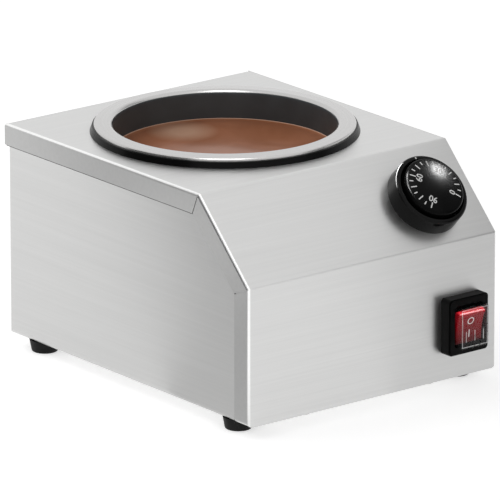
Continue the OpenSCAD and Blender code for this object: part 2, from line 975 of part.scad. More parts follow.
module thermostat_plate() {
    color("silver")
        on_slope()
            translate([0, 0, -sheet_t - plate_t])
                difference() {
                    linear_extrude(plate_t)
                        rounded_square(plate_w, plate_l, stat_edge_r);
                    translate([0, 0, -overrun])
                        cylinder(h = plate_t + 2 * overrun, r = bush_r + fit);
                    for (x = [-stat_screw_x, stat_screw_x])
                        translate([x, 0, -overrun])
                            cylinder(h = plate_t + 2 * overrun, r = screw_r + running_fit);
                }
}

module thermostat_body() {
    color("whitesmoke")
        on_slope()
            difference() {
                union() {
                    translate([0, 0, -stat_low])
                        linear_extrude(stat_h)
                            rounded_square(stat_w, stat_l, stat_edge_r);
                    translate([0, 0, -stat_low])
                        cylinder(h = stat_low + bezel_floor, r = bush_r);
                }
                translate([0, 0, -sheet_t - shaft_in])
                    cylinder(h = stat_low, r = shaft_r + running_fit);
                for (x = [-stat_screw_x, stat_screw_x])
                    translate([x, 0, -sheet_t - plate_t - screw_past - fit])
                        cylinder(h = screw_past + fit + overrun, r = screw_r + running_fit);
            }
}

module thermostat_blades() {
    color("silver")
        on_slope()
            for (x = [-stat_blade_x, stat_blade_x])
                translate([x, 0, -stat_low])
                    rotate([0, 0, 90])
                        blade(blade_l);
}

module thermostat_screws() {
    color("dimgray")
        on_slope()
            for (x = [-stat_screw_x, stat_screw_x])
                translate([x, 0, bezel_floor])
                    mirror([0, 0, 1])
                        screw(screw_r, screw_head_r, screw_head_h, bezel_floor + sheet_t + plate_t + screw_past);
}

// Dished bezel that stays still round the knob
module dial_bezel() {
    color("black")
        on_slope()
            difference() {
                rotate_extrude()
                    polygon(eased([[0, bezel_floor], [0, 0], [bezel_r, 0],
                        [bezel_r - bezel_chamfer, bezel_h], [bezel_wall_r, bezel_h],
                        [bezel_wall_r, bezel_floor]], [0, 0, 0, bezel_chamfer, 0, 0]));
                translate([0, 0, -overrun])
                    cylinder(h = bezel_floor + 2 * overrun, r = bush_r + fit);
                for (x = [-stat_screw_x, stat_screw_x])
                    translate([x, 0, -overrun])
                        cylinder(h = bezel_floor + 2 * overrun, r = screw_r + fit);
            }
}

// Shaft outline with its flat, grown by g
module shaft_outline(g) {
    difference() {
        circle(shaft_r + g);
        translate([-shaft_r - overrun, shaft_r - shaft_flat + g])
            square(2 * (shaft_r + overrun));
    }
}

module dial_knob() {
    rise = knob_top_h - knob_edge_h;
    color("black")
        on_slope()
            difference() {
                rotate_extrude()
                    polygon(eased([[0, knob_foot_h], [knob_r, knob_foot_h], [knob_face_r, knob_edge_h],
                        [knob_face_r * knob_dome_share, knob_edge_h + rise * knob_dome_rise],
                        [0, knob_top_h]],
                        [0, knob_foot_r, knob_edge_r, knob_dome_r, 0]));
                translate([0, 0, knob_foot_h - overrun])
                    difference() {
                        cylinder(h = knob_edge_h - knob_wall - knob_foot_h + overrun, r = knob_face_r - knob_wall);
                        cylinder(h = knob_edge_h, r = knob_boss_r);
                    }
                translate([0, 0, knob_foot_h - overrun])
                    linear_extrude(shaft_top_h - knob_foot_h + overrun + fit)
                        shaft_outline(running_fit);
            }
}

module thermostat_shaft() {
    color("silver")
        on_slope()
            union() {
                translate([0, 0, -sheet_t - shaft_in + fit])
                    cylinder(h = sheet_t + shaft_in + bezel_floor, r = shaft_r);
                translate([0, 0, bezel_floor])
                    linear_extrude(shaft_top_h - bezel_floor)
                        shaft_outline(0);
            }
}

module switch_block() {
    color("black")
        on_front()
            difference() {
                union() {
                    translate([0, 0, -block_h])
                        linear_extrude(block_h)
                            square([block_w, block_l], center = true);
                    linear_extrude(block_flange_h)
                        rounded_square(block_w + 2 * block_flange, block_l + 2 * block_flange, frame_edge_r);
                    both_sides()
                        translate([rocker_w / 2 + cheek_gap, -cheek_l / 2, 0])
                            cube([cap_w / 2 - cap_t - fit - rocker_w / 2 - cheek_gap, cheek_l, cheek_top]);
                }
                translate([0, 0, -rocker_well_floor])
                    linear_extrude(cheek_top + rocker_well_floor + overrun)
                        square([rocker_w + 2 * cheek_gap, 2 * rocker_well_half], center = true);
                translate([-block_w, 0, pivot_h])
                    rotate([0, 90, 0])
                        cylinder(h = 2 * block_w, r = pivot_r + running_fit);
            }
}

module switch_blades() {
    color("silver")
        on_front()
            for (x = [-switch_blade_x, switch_blade_x], y = [-switch_blade_y, switch_blade_y])
                translate([x, y, -block_h])
                    blade(blade_l);
}

module switch_frame() {
    color("black")
        on_front()
            difference() {
                union() {
                    linear_extrude(frame_h - frame_chamfer)
                        rounded_square(frame_w, frame_l, frame_edge_r);
                    linear_extrude(frame_h)
                        rounded_square(frame_w - 2 * frame_chamfer, frame_l - 2 * frame_chamfer, frame_edge_r);
                }
                translate([0, 0, -overrun])
                    linear_extrude(pocket_h + overrun)
                        rounded_square(block_w + 2 * (block_flange + fit), block_l + 2 * (block_flange + fit),
                            frame_edge_r);
                translate([0, 0, -overrun])
                    linear_extrude(frame_h + 2 * overrun)
                        rounded_square(cap_w + 2 * fit, cap_l + 2 * fit, cap_edge_r + fit);
            }
}

// Clear soft cap over the rocker, with its flange held under the frame
module switch_cap() {
    color("white", 0.4)
        on_front()
            difference() {
                union() {
                    translate([0, 0, block_flange_h])
                        linear_extrude(cap_flange_h)
                            rounded_square(cap_w + 2 * cap_flange, cap_l + 2 * cap_flange, cap_edge_r);
                    translate([0, 0, block_flange_h])
                        linear_extrude(switch_reach - block_flange_h - rib_h)
                            rounded_square(cap_w, cap_l, cap_edge_r);
                    for (i = [0 : rib_count - 1])
                        translate([(i - (rib_count - 1) / 2) * cap_w / (rib_count + 1) - rib_w / 2,
                            -cap_l / 2 + cap_edge_r, switch_reach - rib_h - cap_t])
                            cube([rib_w, cap_l - 2 * cap_edge_r, cap_t + rib_h]);
                }
                translate([0, 0, block_flange_h - overrun])
                    linear_extrude(switch_reach - block_flange_h - rib_h - cap_t + overrun)
                        rounded_square(cap_w - 2 * cap_t, cap_l - 2 * cap_t, cap_edge_r - cap_t);
            }
}

module switch_rocker() {
    color("red")
        on_front()
            translate([0, 0, pivot_h])
                rotate([rocker_tilt, 0, 0])
                    union() {
                        along_x(rocker_w)
                            polygon(eased([[-rocker_foot_half, -rocker_foot_h],
                                [rocker_foot_half, -rocker_foot_h], [rocker_half, rocker_end_h],
                                [0, rocker_dip_h], [-rocker_half, rocker_end_h],
                                [-rocker_foot_half, -rocker_foot_h]],
                                [0, pivot_r, pivot_r / 2, rocker_half, pivot_r / 2, 0]));
                        translate([-rocker_w / 2 - pivot_reach, 0, 0])
                            rotate([0, 90, 0])
                                cylinder(h = rocker_w + 2 * pivot_reach, r = pivot_r);
                    }
}

module at_poles() {
    for (i = [0 : pole_count - 1])
        translate([block_x + (i - (pole_count - 1) / 2) * pole_step, block_y, base_z])
            children();
}

module terminal_block() {
    color("ivory")
        difference() {
            union() {
                at_poles()
                    translate([-pole_w / 2, -pole_l / 2, 0])
                        cube([pole_w, pole_l, pole_h]);
                translate([block_x - (pole_count - 1) * pole_step / 2, block_y - pole_l / 4, base_z])
                    cube([(pole_count - 1) * pole_step, pole_l / 2, web_h]);
            }
            at_poles() {
                translate([0, -pole_l / 2 - overrun, pole_bore_z - base_z])
                    rotate([-90, 0, 0])
                        cylinder(h = pole_l + 2 * overrun, r = pole_bore_r);
                for (y = [-pole_l / 4, pole_l / 4])
                    translate([0, y, pole_bore_z - base_z])
                        cylinder(h = pole_h, r = screw_r);
            }
        }
}

module terminal_screws() {
    color("silver")
        at_poles()
            for (y = [-pole_l / 4, pole_l / 4])
                translate([0, y, pole_bore_z - base_z + pole_bore_r])
                    cylinder(h = screw_past, r = screw_r - running_fit);
}

// Earth stud with its lower nut, washer and upper nut
module earth_stud() {
    color("goldenrod")
        translate([earth_x, earth_y, base_z - 2 * sheet_t]) {
            cylinder(h = 2 * sheet_t + earth_l, r = earth_r);
            translate([0, 0, 2 * sheet_t])
                hex_nut(nut_r, nut_h, earth_r);
            translate([0, 0, 2 * sheet_t + nut_h])
                cylinder(h = washer_h, r = washer_r);
            translate([0, 0, 2 * sheet_t + nut_h + washer_h])
                hex_nut(nut_r, nut_h, earth_r);
        }
}

module gland_body() {
    color("black")
        on_rear(gland_x, gland_z)
            difference() {
                union() {
                    cylinder(h = gland_hex_h, r = gland_hex_r, $fn = hex_sides);
                    translate([0, 0, -gland_thread_l])
                        cylinder(h = gland_thread_l + gland_hex_h, r = gland_thread_r);
                }
                translate([0, 0, -gland_thread_l - overrun])
                    cylinder(h = gland_thread_l + gland_hex_h + 2 * overrun, r = gland_bore_r);
            }
}

module gland_cap() {
    color("black")
        on_rear(gland_x, gland_z)
            translate([0, 0, gland_hex_h])
                rotate_extrude()
                    polygon(eased([[gland_bore_r, gland_cap_h], [gland_bore_r, 0], [gland_cap_r, 0],
                        [gland_cap_r, gland_cap_h], [gland_bore_r, gland_cap_h]],
                        [0, 0, 0, gland_dome_r, 0]));
}

module gland_lock_nut() {
    color("black")
        on_rear(gland_x, gland_z)
            translate([0, 0, -sheet_t - lock_nut_h])
                hex_nut(lock_nut_r, lock_nut_h, gland_thread_r + running_fit);
}

// Ends of the leads at the terminals
function pole_end(i, s) = [block_x + (i - (pole_count - 1) / 2) * pole_step,
    block_y + s * pole_l / 2, pole_bore_z];
function switch_end(x, y) = switch_at + [x * switch_blade_x, block_h + blade_l, y * switch_blade_y];
function stat_end(x) = dial_at + [x * stat_blade_x, 0, 0] + (stat_low + blade_l) * stat_way;
function post_end(x) = [x * post_x, post_y - post_l, post_z];
function cutout_end(x) = [x * cutout_blade_x, pan_y, cutout_low_z - blade_l];

module live_lead() {
    a = pole_end(2, -1);
    b = switch_end(-1, -1);
    color("saddlebrown")
        swept_tube(concat(
            stub(a, [0, -lead_stub, 0]),
            [[a.x, pan_y, lead_low_z], [b.x, lane_y + 2 * lead_stub, lead_low_z]],
            reversed(stub(b, [0, lead_stub, 0]))), lead_r);
}

module control_lead() {
    a = switch_end(1, 1);
    b = stat_end(1);
    color("saddlebrown")
        swept_tube(concat(
            stub(a, [0, lead_stub, 0]),
            [(a + b) / 2 + [0, 2 * lead_stub, 0]],
            reversed(stub(b, lead_stub * stat_way))), lead_r);
}

module heater_lead() {
    a = stat_end(-1);
    b = post_end(1);
    color("saddlebrown")
        swept_tube(concat(
            stub(a, lead_stub * stat_way),
            [(a + b) / 2 - [0, lead_stub, lead_stub]],
            reversed(stub(b, [0, -lead_stub, 0]))), lead_r);
}

module cutout_lead() {
    a = post_end(-1);
    b = cutout_end(-1);
    color("saddlebrown")
        swept_tube(concat(
            stub(a, [0, -lead_stub, 0]),
            [[a.x, lane_y, (a.z + lead_low_z) / 2], [a.x, lane_y + 2 * lead_stub, lead_low_z],
                [b.x, (lane_y + pan_y) / 2, lead_low_z]],
            reversed(stub(b, [0, 0, -lead_stub]))), lead_r);
}

module neutral_lead() {
    a = cutout_end(1);
    b = pole_end(1, -1);
    color("navy")
        swept_tube(concat(
            stub(a, [0, 0, -lead_stub]),
            [[(a.x + b.x) / 2, pan_y + lead_stub, lead_low_z]],
            reversed(stub(b, [0, -lead_stub, 0]))), lead_r);
}

module earth_lead() {
    a = pole_end(0, 1);
    b = [earth_x + nut_r + fit, earth_y, base_z + nut_h + washer_h + lead_r + fit];
    color("yellowgreen")
        swept_tube(concat(
            stub(a, [0, lead_stub, 0]),
            [(a + b) / 2 + [0, lead_stub, lead_stub]],
            reversed(stub(b, [lead_stub, 0, 0]))), lead_r);
}

module lift_out_pan() {
    color("lightgray")
        on_pan()
            rotate_extrude($fn = 128)
                polygon(strip(pan_path, pan_bends, pan_t));
}

module chocolate_fill() {
    low = pan_low_z + pan_t + fill_gap;
    edge = pan_r - fill_gap;
    color("saddlebrown")
        on_pan()
            rotate_extrude($fn = 128)
                polygon(eased([[0, fill_z], [0, low], [edge, low], [edge, fill_z]],
                    [0, 0, pan_corner_r - pan_t - fill_gap, 0]));
}

outer_cover();
body_wrap();
base_plate();
base_screws();
cover_screws();
foot_front_left();
foot_front_right();
foot_rear_left();
foot_rear_right();
foot_screws();
foot_nuts();
pan_collar();
heat_well();
well_studs();
well_nuts();
band_heater();
band_bolt();
heater_posts();
insulation_jacket();
insulation_pad();
thermal_cutout();
cutout_blades();
sensor_bulb();
bulb_clip();
capillary_tube();
thermostat_body();
thermostat_plate();
thermostat_blades();
thermostat_screws();
dial_bezel();
dial_knob();
thermostat_shaft();
switch_block();
switch_blades();
switch_frame();
switch_cap();
switch_rocker();
terminal_block();
terminal_screws();
earth_stud();
gland_body();
gland_cap();
gland_lock_nut();
live_lead();
control_lead();
heater_lead();
cutout_lead();
neutral_lead();
earth_lead();
lift_out_pan();
chocolate_fill();
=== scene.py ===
"""Looks of a table-top chocolate melter: steel, dial print, capped switch, chocolate, screws and studio."""

import json
import logging
import math
from collections.abc import Callable
from dataclasses import dataclass
from enum import Enum

import bmesh
import bpy
from mathutils import Matrix, Vector


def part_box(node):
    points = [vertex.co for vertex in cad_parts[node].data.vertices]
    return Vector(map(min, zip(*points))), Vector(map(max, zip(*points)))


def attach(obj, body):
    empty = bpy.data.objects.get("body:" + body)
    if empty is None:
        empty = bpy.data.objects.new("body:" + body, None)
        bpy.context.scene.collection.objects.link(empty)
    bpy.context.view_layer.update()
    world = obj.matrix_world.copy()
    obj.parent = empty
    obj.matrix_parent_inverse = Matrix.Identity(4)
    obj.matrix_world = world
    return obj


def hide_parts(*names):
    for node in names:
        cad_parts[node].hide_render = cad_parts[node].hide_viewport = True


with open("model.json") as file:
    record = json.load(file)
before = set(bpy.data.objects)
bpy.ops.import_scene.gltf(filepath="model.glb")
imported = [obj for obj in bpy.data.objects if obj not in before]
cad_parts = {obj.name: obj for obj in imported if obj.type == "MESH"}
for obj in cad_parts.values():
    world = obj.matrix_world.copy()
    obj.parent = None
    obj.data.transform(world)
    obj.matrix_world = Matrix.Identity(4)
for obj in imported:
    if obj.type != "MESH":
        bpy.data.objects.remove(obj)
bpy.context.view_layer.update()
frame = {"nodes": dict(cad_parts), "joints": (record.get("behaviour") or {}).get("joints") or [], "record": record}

LOG = logging.getLogger("melting_tank")
MM = 0.001
TINY = 1e-6  # slack between places that are the same
NEAR = 1e-5  # slack between radii that are the same
FACING = 0.9  # part of a normal from which on a face looks that way

Colour = tuple[float, float, float]
Place = tuple[float, float, float]
Limits = tuple[float, float]
Piece = bpy.types.Object
Finish = bpy.types.Material
Socket = bpy.types.NodeSocket
Test = Callable[[Vector, Vector], bool]


class Grain(Enum):
    """Way that the brushing of a steel piece runs."""

    ACROSS = "along X on the top, the slope and the front"
    LEVEL = "level on every wall"
    SPUN = "round the pan's axis"


class Body(Enum):
    """Body that a piece moves with."""

    HOUSING = "housing"
    PAN = "pan"
    DIAL = "dial"
    ROCKER = "rocker"


class Pick(Enum):
    """What is selected in edit mode."""

    POINTS = "VERT"
    EDGES = "EDGE"
    FACES = "FACE"


class Mix(Enum):
    """What is mixed."""

    COLOURS = "RGBA"
    NUMBERS = "FLOAT"


class Shine(Enum):
    """What a lamp shows on."""

    ALL = "all surfaces"
    GLOSS = "gloss alone"
    MATT = "matt surfaces alone"


class Bench:
    """Short calls for modelling one piece at a time with operators."""

    @staticmethod
    def clear() -> None:
        """Leave edit mode and deselect everything."""
        if bpy.context.mode != "OBJECT":
            bpy.ops.object.mode_set(mode="OBJECT")
        bpy.ops.object.select_all(action="DESELECT")

    @staticmethod
    def take(*pieces: Piece) -> None:
        """Select pieces alone.

        Args:
            *pieces: The pieces, of which the first becomes the active one.
        """
        Bench.clear()
        for piece in pieces:
            piece.select_set(True)
        bpy.context.view_layer.objects.active = pieces[0]

    @staticmethod
    def named(name: str) -> Piece:
        """Give the active piece its name.

        Args:
            name: The name of the piece and of its mesh.

        Returns:
            The active piece.
        """
        piece = bpy.context.active_object
        piece.name = name
        piece.data.name = name
        return piece

    @staticmethod
    def start(name: str, add: Callable[..., object], **settings: object) -> Piece:
        """Add the shape that a piece is modelled from.

        Args:
            name: The piece's name.
            add: The operator that adds the shape.
            **settings: The operator's own settings.

        Returns:
            The new piece, with its place in its mesh.
        """
        Bench.clear()
        add(**settings)
        piece = Bench.named(name)
        Bench.place(piece, Matrix.Identity(4))
        return piece

    @staticmethod
    def block(name: str, size: Place, centre: Place = (0, 0, 0)) -> Piece:
        """Start a piece from a block, by its size and its centre."""
        return Bench.start(name, bpy.ops.mesh.primitive_cube_add, size=1, scale=size, location=centre)

    @staticmethod
    def rod(name: str, sides: int, radius: float, low: float, high: float) -> Piece:
        """Start a piece from an upright cylinder between two heights."""
        return Bench.start(name, bpy.ops.mesh.primitive_cylinder_add, vertices=sides, radius=radius,
                           depth=high - low, location=(0, 0, (low + high) / 2))

    @staticmethod
    def edit(piece: Piece, pick: Pick, every: bool = False) -> None:
        """Open a piece in edit mode.

        Args:
            piece: The piece to open.
            pick: What is selected there.
            every: Whether all of it is selected, or nothing.
        """
        Bench.take(piece)
        bpy.ops.object.mode_set(mode="EDIT")
        bpy.ops.mesh.select_mode(type=pick.value)
        bpy.ops.mesh.select_all(action="SELECT" if every else "DESELECT")

    @staticmethod
    def pick_faces(piece: Piece, test: Test) -> None:
        """Open a piece and select its faces by place and normal.

        Args:
            piece: The piece to open.
            test: Takes a face's centre and normal and says whether it is selected.
        """
        Bench.edit(piece, Pick.FACES)
        mesh = bmesh.from_edit_mesh(piece.data)
        for face in mesh.faces:
            face.select_set(test(face.calc_center_median(), face.normal))
        bmesh.update_edit_mesh(piece.data)

    @staticmethod
    def pick_edges(piece: Piece, test: Test) -> None:
        """Open a piece and select its edges by their two ends.

        Args:
            piece: The piece to open.
            test: Takes an edge's two ends and says whether it is selected.
        """
        Bench.edit(piece, Pick.EDGES)
        mesh = bmesh.from_edit_mesh(piece.data)
        for edge in mesh.edges:
            edge.select_set(test(edge.verts[0].co, edge.verts[1].co))
        bmesh.update_edit_mesh(piece.data)

    @staticmethod
    def extrude(rise: float) -> None:
        """Extrude the selected faces along z."""
        bpy.ops.mesh.extrude_region_move(TRANSFORM_OT_translate={"value": (0, 0, rise)})

    @staticmethod
    def widen(across: float, along: float, centre: Place) -> None:
        """Scale what is selected in x and y, from a place that stays."""
        bpy.ops.transform.resize(value=(across, along, 1), center_override=centre)

    @staticmethod
    def apply(piece: Piece, kind: str, **settings: object) -> None:
        """Add a modifier to a piece and apply it.

        Args:
            piece: The piece to change.
            kind: The modifier's type.
            **settings: The modifier's own settings.
        """
        Bench.take(piece)
        modifier = piece.modifiers.new(kind.lower(), kind)
        for key, value in settings.items():
            setattr(modifier, key, value)
        bpy.ops.object.modifier_apply(modifier=modifier.name)

    @staticmethod
    def cut(piece: Piece, cutter: Piece) -> None:
        """Cut a piece with another one and remove the cutter."""
        Bench.apply(piece, "BOOLEAN", operation="DIFFERENCE", solver="EXACT", object=cutter)
        bpy.data.objects.remove(cutter)

    @staticmethod
    def copy(piece: Piece, name: str) -> Piece:
        """Copy a piece.

        Args:
            piece: The piece to copy.
            name: The copy's name.

        Returns:
            The copy, with a mesh of its own.
        """
        twin = piece.copy()
        twin.data = piece.data.copy()
        twin.name = name
        bpy.context.collection.objects.link(twin)
        return twin

    @staticmethod
    def place(piece: Piece, matrix: Matrix) -> None:
        """Put a piece's place into its mesh, with its object at the origin.

        Args:
            piece: The piece to place.
            matrix: Where it goes from the place that it has.
        """
        Bench.clear()
        piece.data.transform(matrix @ piece.matrix_basis)
        piece.matrix_basis = Matrix.Identity(4)

    @staticmethod
    def join(pieces: list[Piece], name: str) -> Piece:
        """Join pieces into one.

        Args:
            pieces: The pieces to join.
            name: The name of the one.

        Returns:
            The joined piece.
        """
        Bench.take(*pieces)
        bpy.ops.object.join()
        return Bench.named(name)

    @staticmethod
    def smooth(piece: Piece, degrees: float) -> None:
        """Shade a piece smooth, apart from edges that are sharper than an angle."""
        Bench.take(piece)
        bpy.ops.object.shade_smooth_by_angle(angle=math.radians(degrees))

    @staticmethod
    def close(piece: Piece, distance: float = TINY) -> None:
        """Merge a piece's doubles and turn its faces outwards.

        Args:
            piece: The piece to close.
            distance: How near doubles are.
        """
        Bench.edit(piece, Pick.FACES, True)
        bpy.ops.mesh.remove_doubles(threshold=distance)
        bpy.ops.mesh.normals_make_consistent(inside=False)
        Bench.clear()

    @staticmethod
    def print_on(piece: Piece, carrier: Piece, thickness: float) -> None:
        """Lay a flat print on what carries it and give it its thickness.

        Args:
            piece: The flat print.
            carrier: The piece that carries it.
            thickness: How thick it gets.
        """
        Bench.apply(piece, "SHRINKWRAP", target=carrier, wrap_method="NEAREST_SURFACEPOINT",
                    wrap_mode="ABOVE_SURFACE", offset=thickness / 2)
        Bench.apply(piece, "SOLIDIFY", thickness=thickness, offset=0)

    @staticmethod
    def deliver(piece: Piece, body: Body, slot: str, material: Finish,
                replaces: tuple[str, ...] = ()) -> None:
        """Dress a finished piece and hang it on its body.

        Args:
            piece: The finished piece.
            body: The body that it moves with.
            slot: The record's material slot; it is not used.
            material: The finish that it gets.
            replaces: The nodes that it stands for.
        """
        Bench.clear()
        piece.data.materials.clear()
        piece.data.materials.append(material)
        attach(piece, body.value)
        if replaces:
            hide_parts(*replaces)
        LOG.info("made %s on %s", piece.name, body.value)


class Graph:
    """A node tree, with short calls for adding and joining nodes."""

    def __init__(self, tree: bpy.types.NodeTree) -> None:
        """Take the tree that is added to."""
        self.tree = tree

    def feed(self, target: Socket, value: object) -> None:
        """Give a socket its value.

        Args:
            target: The socket.
            value: Another socket to join to it, or a value to set.
        """
        if isinstance(value, Socket):
            self.tree.links.new(value, target)
        else:
            target.default_value = value

    def node(self, kind: str, output: str, sockets: dict[str | int, object], **settings: object) -> Socket:
        """Add a node.

        Args:
            kind: The node's type, without its first words.
            output: The name of the output that is wanted.
            sockets: What goes into its inputs, by name or number.
            **settings: The node's own settings.

        Returns:
            The output.
        """
        node = self.tree.nodes.new("ShaderNode" + kind)
        for key, value in settings.items():
            setattr(node, key, value)
        for key, value in sockets.items():
            self.feed(node.inputs[key], value)
        return node.outputs[output]

    def math(self, operation: str, *values: Socket | float) -> Socket:
        """Return the result of a sum with one to three values."""
        return self.node("Math", "Value", dict(enumerate(values)), operation=operation)

    def ranged(self, value: Socket, limits: Limits, low: float, high: float) -> Socket:
        """Return a value brought from its limits to a new range and held at the ends."""
        ends = {"From Min": limits[0], "From Max": limits[1], "To Min": low, "To Max": high}
        return self.node("MapRange", "Result", {"Value": value, **ends})


def scaled(colour: Colour, share: float) -> Colour:
    """Return a colour times a share."""
    return tuple(channel * share for channel in colour)


class Recipe(Graph):
    """A material's node tree around one principled shader."""

    noise_limits: Limits = (0.25, 0.75)

    def __init__(self, name: str) -> None:
        """Start a material with a plain principled shader.

        Args:
            name: The material's name.
        """
        self.material = bpy.data.materials.new(name)
        self.material.use_nodes = True
        super().__init__(self.material.node_tree)
        self.shader = self.tree.nodes["Principled BSDF"]
        coords = self.tree.nodes.new("ShaderNodeTexCoord")
        self.where, self.normal = coords.outputs["Object"], coords.outputs["Normal"]

    def set(self, **values: object) -> None:
        """Set or join the shader's own sockets, with underscores for the spaces in their names."""
        for key, value in values.items():
            self.feed(self.shader.inputs[key.replace("_", " ")], value)

    def mapped(self, move: Place, scale: Place) -> Socket:
        """Return object coordinates that are scaled and then moved."""
        return self.node("Mapping", "Vector", {"Vector": self.where, "Location": move, "Scale": scale})

    def axis(self, vector: Socket, name: str) -> Socket:
        """Return one axis of a vector."""
        return self.node("SeparateXYZ", name, {"Vector": vector})

    def reach(self, vector: Socket) -> Socket:
        """Return a vector's length."""
        return self.node("VectorMath", "Value", {0: vector}, operation="LENGTH")

    def spun(self, centre: Vector, across: float) -> Socket:
        """Make coordinates that change with the distance from an upright axis and with height.

        Args:
            centre: A point on the axis.
            across: How many pattern units there are in a metre.

        Returns:
            The coordinates, as distance and height.
        """
        moved = self.mapped((-centre.x, -centre.y, 0), (1, 1, 1))
        flat = self.node("VectorMath", "Vector", {0: moved, 1: (across, across, 0)}, operation="MULTIPLY")
        height = self.math("MULTIPLY", self.axis(moved, "Z"), across)
        return self.node("CombineXYZ", "Vector", {"X": self.reach(flat), "Y": height})

    def noise(self, vector: Socket, scale: float = 1.0, detail: float = 2.0, bend: float = 0.0) -> Socket:
        """Return a noise from 0 to 1, by how fine it is, its finer layers and how far it is swirled."""
        sockets = {"Vector": vector, "Scale": scale, "Detail": detail, "Distortion": bend}
        return self.node("TexNoise", "Fac", sockets)

    def varied(self, noise: Socket, value: float, low: float = 0.85, high: float = 1.15) -> Socket:
        """Let a value vary with a noise, between two shares of it."""
        return self.ranged(noise, self.noise_limits, value * low, value * high)

    def tinted(self, noise: Socket, dark: Colour, light: Colour) -> Socket:
        """Make a colour that varies with a noise.

        Args:
            noise: The noise.
            dark: The colour at its low end.
            light: The colour at its high end.

        Returns:
            The colour.
        """
        node = self.tree.nodes.new("ShaderNodeValToRGB")
        for element, place, colour in zip(node.color_ramp.elements, self.noise_limits, (dark, light)):
            element.position = place
            element.color = (*colour, 1)
        self.feed(node.inputs["Fac"], noise)
        return node.outputs["Color"]

    def clouded(self, noise: Socket, colour: Colour, tone: float) -> Socket:
        """Let a colour go darker and lighter by a share with a noise."""
        return self.tinted(noise, scaled(colour, 1 - tone), scaled(colour, 1 + tone))

    def times(self, colour: Socket, share: Socket) -> Socket:
        """Return a colour times a share."""
        return self.node("VectorMath", "Vector", {0: colour, "Scale": share}, operation="SCALE")

    def mixed(self, share: Socket | float, under: object, upper: object, kind: Mix = Mix.COLOURS) -> Socket:
        """Return a mix of two colours or numbers, by the share of the second."""
        return self.node("Mix", "Result", {"Factor": share, "A": under, "B": upper}, data_type=kind.value)

    def bump(self, height: Socket, strength: float, distance: float) -> None:
        """Press the shader's normal in and out by a height."""
        sockets = {"Strength": strength, "Distance": distance, "Height": height}
        self.set(Normal=self.node("Bump", "Normal", sockets))


@dataclass(frozen=True)
class Steel:
    """Brushed or spun stainless steel."""

    name: str
    grain: Grain
    colour: Colour = (0.62, 0.62, 0.615)
    roughness: float = 0.34
    tone: float = 0.05
    lines: float = 0.12
    line_depth: float = 0.02 * MM
    fine: float = 2600.0
    broad: float = 420.0
    broad_detail: float = 3.0
    broad_share: float = 0.5
    along: float = 7.0
    stretch: float = 0.6
    level_turn: float = 0.25
    # Painted shade on the side flanges and painted highlights along the side folds, set by the normal's x part
    turned_share: float = 0.78
    turned_at: Limits = (0.9, 0.99)
    fold_share: float = 1.42
    fold_starts: Limits = (0.1, 0.3)
    fold_ends: Limits = (0.8, 0.92)

    def streaks(self, recipe: Recipe, across: float, centre: Vector) -> Socket:
        """Make coordinates that are long along the brushing and short across it.

        Args:
            recipe: The material's nodes.
            across: How many lines there are in a metre.
            centre: A point on the axis of spun pieces.

        Returns:
            The coordinates.
        """
        if self.grain is Grain.SPUN:
            return recipe.spun(centre, across)
        side = across if self.grain is Grain.ACROSS else self.along
        return recipe.mapped((0, 0, 0), (self.along, side, across))

    def shaded(self, recipe: Recipe, tint: Socket) -> Socket:
        """Paint highlights on the side folds and paint shade on the side flanges.

        Args:
            recipe: The material's nodes.
            tint: The colour of the flat sheet.

        Returns:
            The colour of the folded sheet, with painted highlights on its folds and painted shade on its flanges.
        """
        if self.grain is not Grain.ACROSS:
            return tint
        # Painted highlight on the folds and painted shade on the flanges, from the normal's x part
        turned = recipe.math("ABSOLUTE", recipe.axis(recipe.normal, "X"))
        painted_fold_highlight = recipe.ranged(turned, self.fold_starts, 0.0, self.fold_share - 1)
        fold_highlight_fade = recipe.ranged(turned, self.fold_ends, 1.0, 0.0)
        flange = recipe.ranged(turned, self.turned_at, 1.0, self.turned_share)
        return recipe.times(tint, recipe.math("MULTIPLY_ADD", painted_fold_highlight, fold_highlight_fade, flange))

    def material(self, centre: Vector) -> Finish:
        """Build the finish.

        Args:
            centre: A point on the axis that spun pieces turn about.

        Returns:
            The new material.
        """
        recipe = Recipe(self.name)
        if self.grain is not Grain.SPUN:
            axis, turn = ("X", 0.0) if self.grain is Grain.ACROSS else ("Z", self.level_turn)
            around = recipe.node("Tangent", "Tangent", {}, direction_type="RADIAL", axis=axis)
            recipe.set(Tangent=around, Anisotropic=self.stretch, Anisotropic_Rotation=turn)
        fine = recipe.noise(self.streaks(recipe, self.fine, centre))
        broad = recipe.noise(self.streaks(recipe, self.broad, centre), detail=self.broad_detail)
        both = recipe.mixed(self.broad_share, fine, broad, Mix.NUMBERS)
        tint = recipe.clouded(both, self.colour, self.tone)
        recipe.set(Metallic=1.0, Base_Color=self.shaded(recipe, tint),
                   Roughness=recipe.varied(fine, self.roughness))
        recipe.bump(fine, self.lines, self.line_depth)
        return recipe.material


@dataclass(frozen=True)
class Moulded:
    """Moulded plastic, rubber, ceramic or cord insulation with a faint skin."""

    name: str
    colour: Colour
    roughness: float
    skin: float = 0.1
    skin_scale: float = 1500.0
    tone: float = 0.12
    gloss: float = 0.5
    skin_depth: float = 0.05 * MM
    cloud_share: float = 0.05

    def tint(self, recipe: Recipe, cloud: Socket) -> Socket:
        """Return the colour with its faint clouds."""
        return recipe.clouded(cloud, self.colour, self.tone)

    def material(self) -> Finish:
        """Build the finish.

        Returns:
            The new material.
        """
        recipe = Recipe(self.name)
        cloud = recipe.noise(recipe.where, self.skin_scale * self.cloud_share)
        recipe.set(Specular_IOR_Level=self.gloss, Base_Color=self.tint(recipe, cloud),
                   Roughness=recipe.varied(cloud, self.roughness))
        recipe.bump(recipe.noise(recipe.where, self.skin_scale), self.skin, self.skin_depth)
        return recipe.material


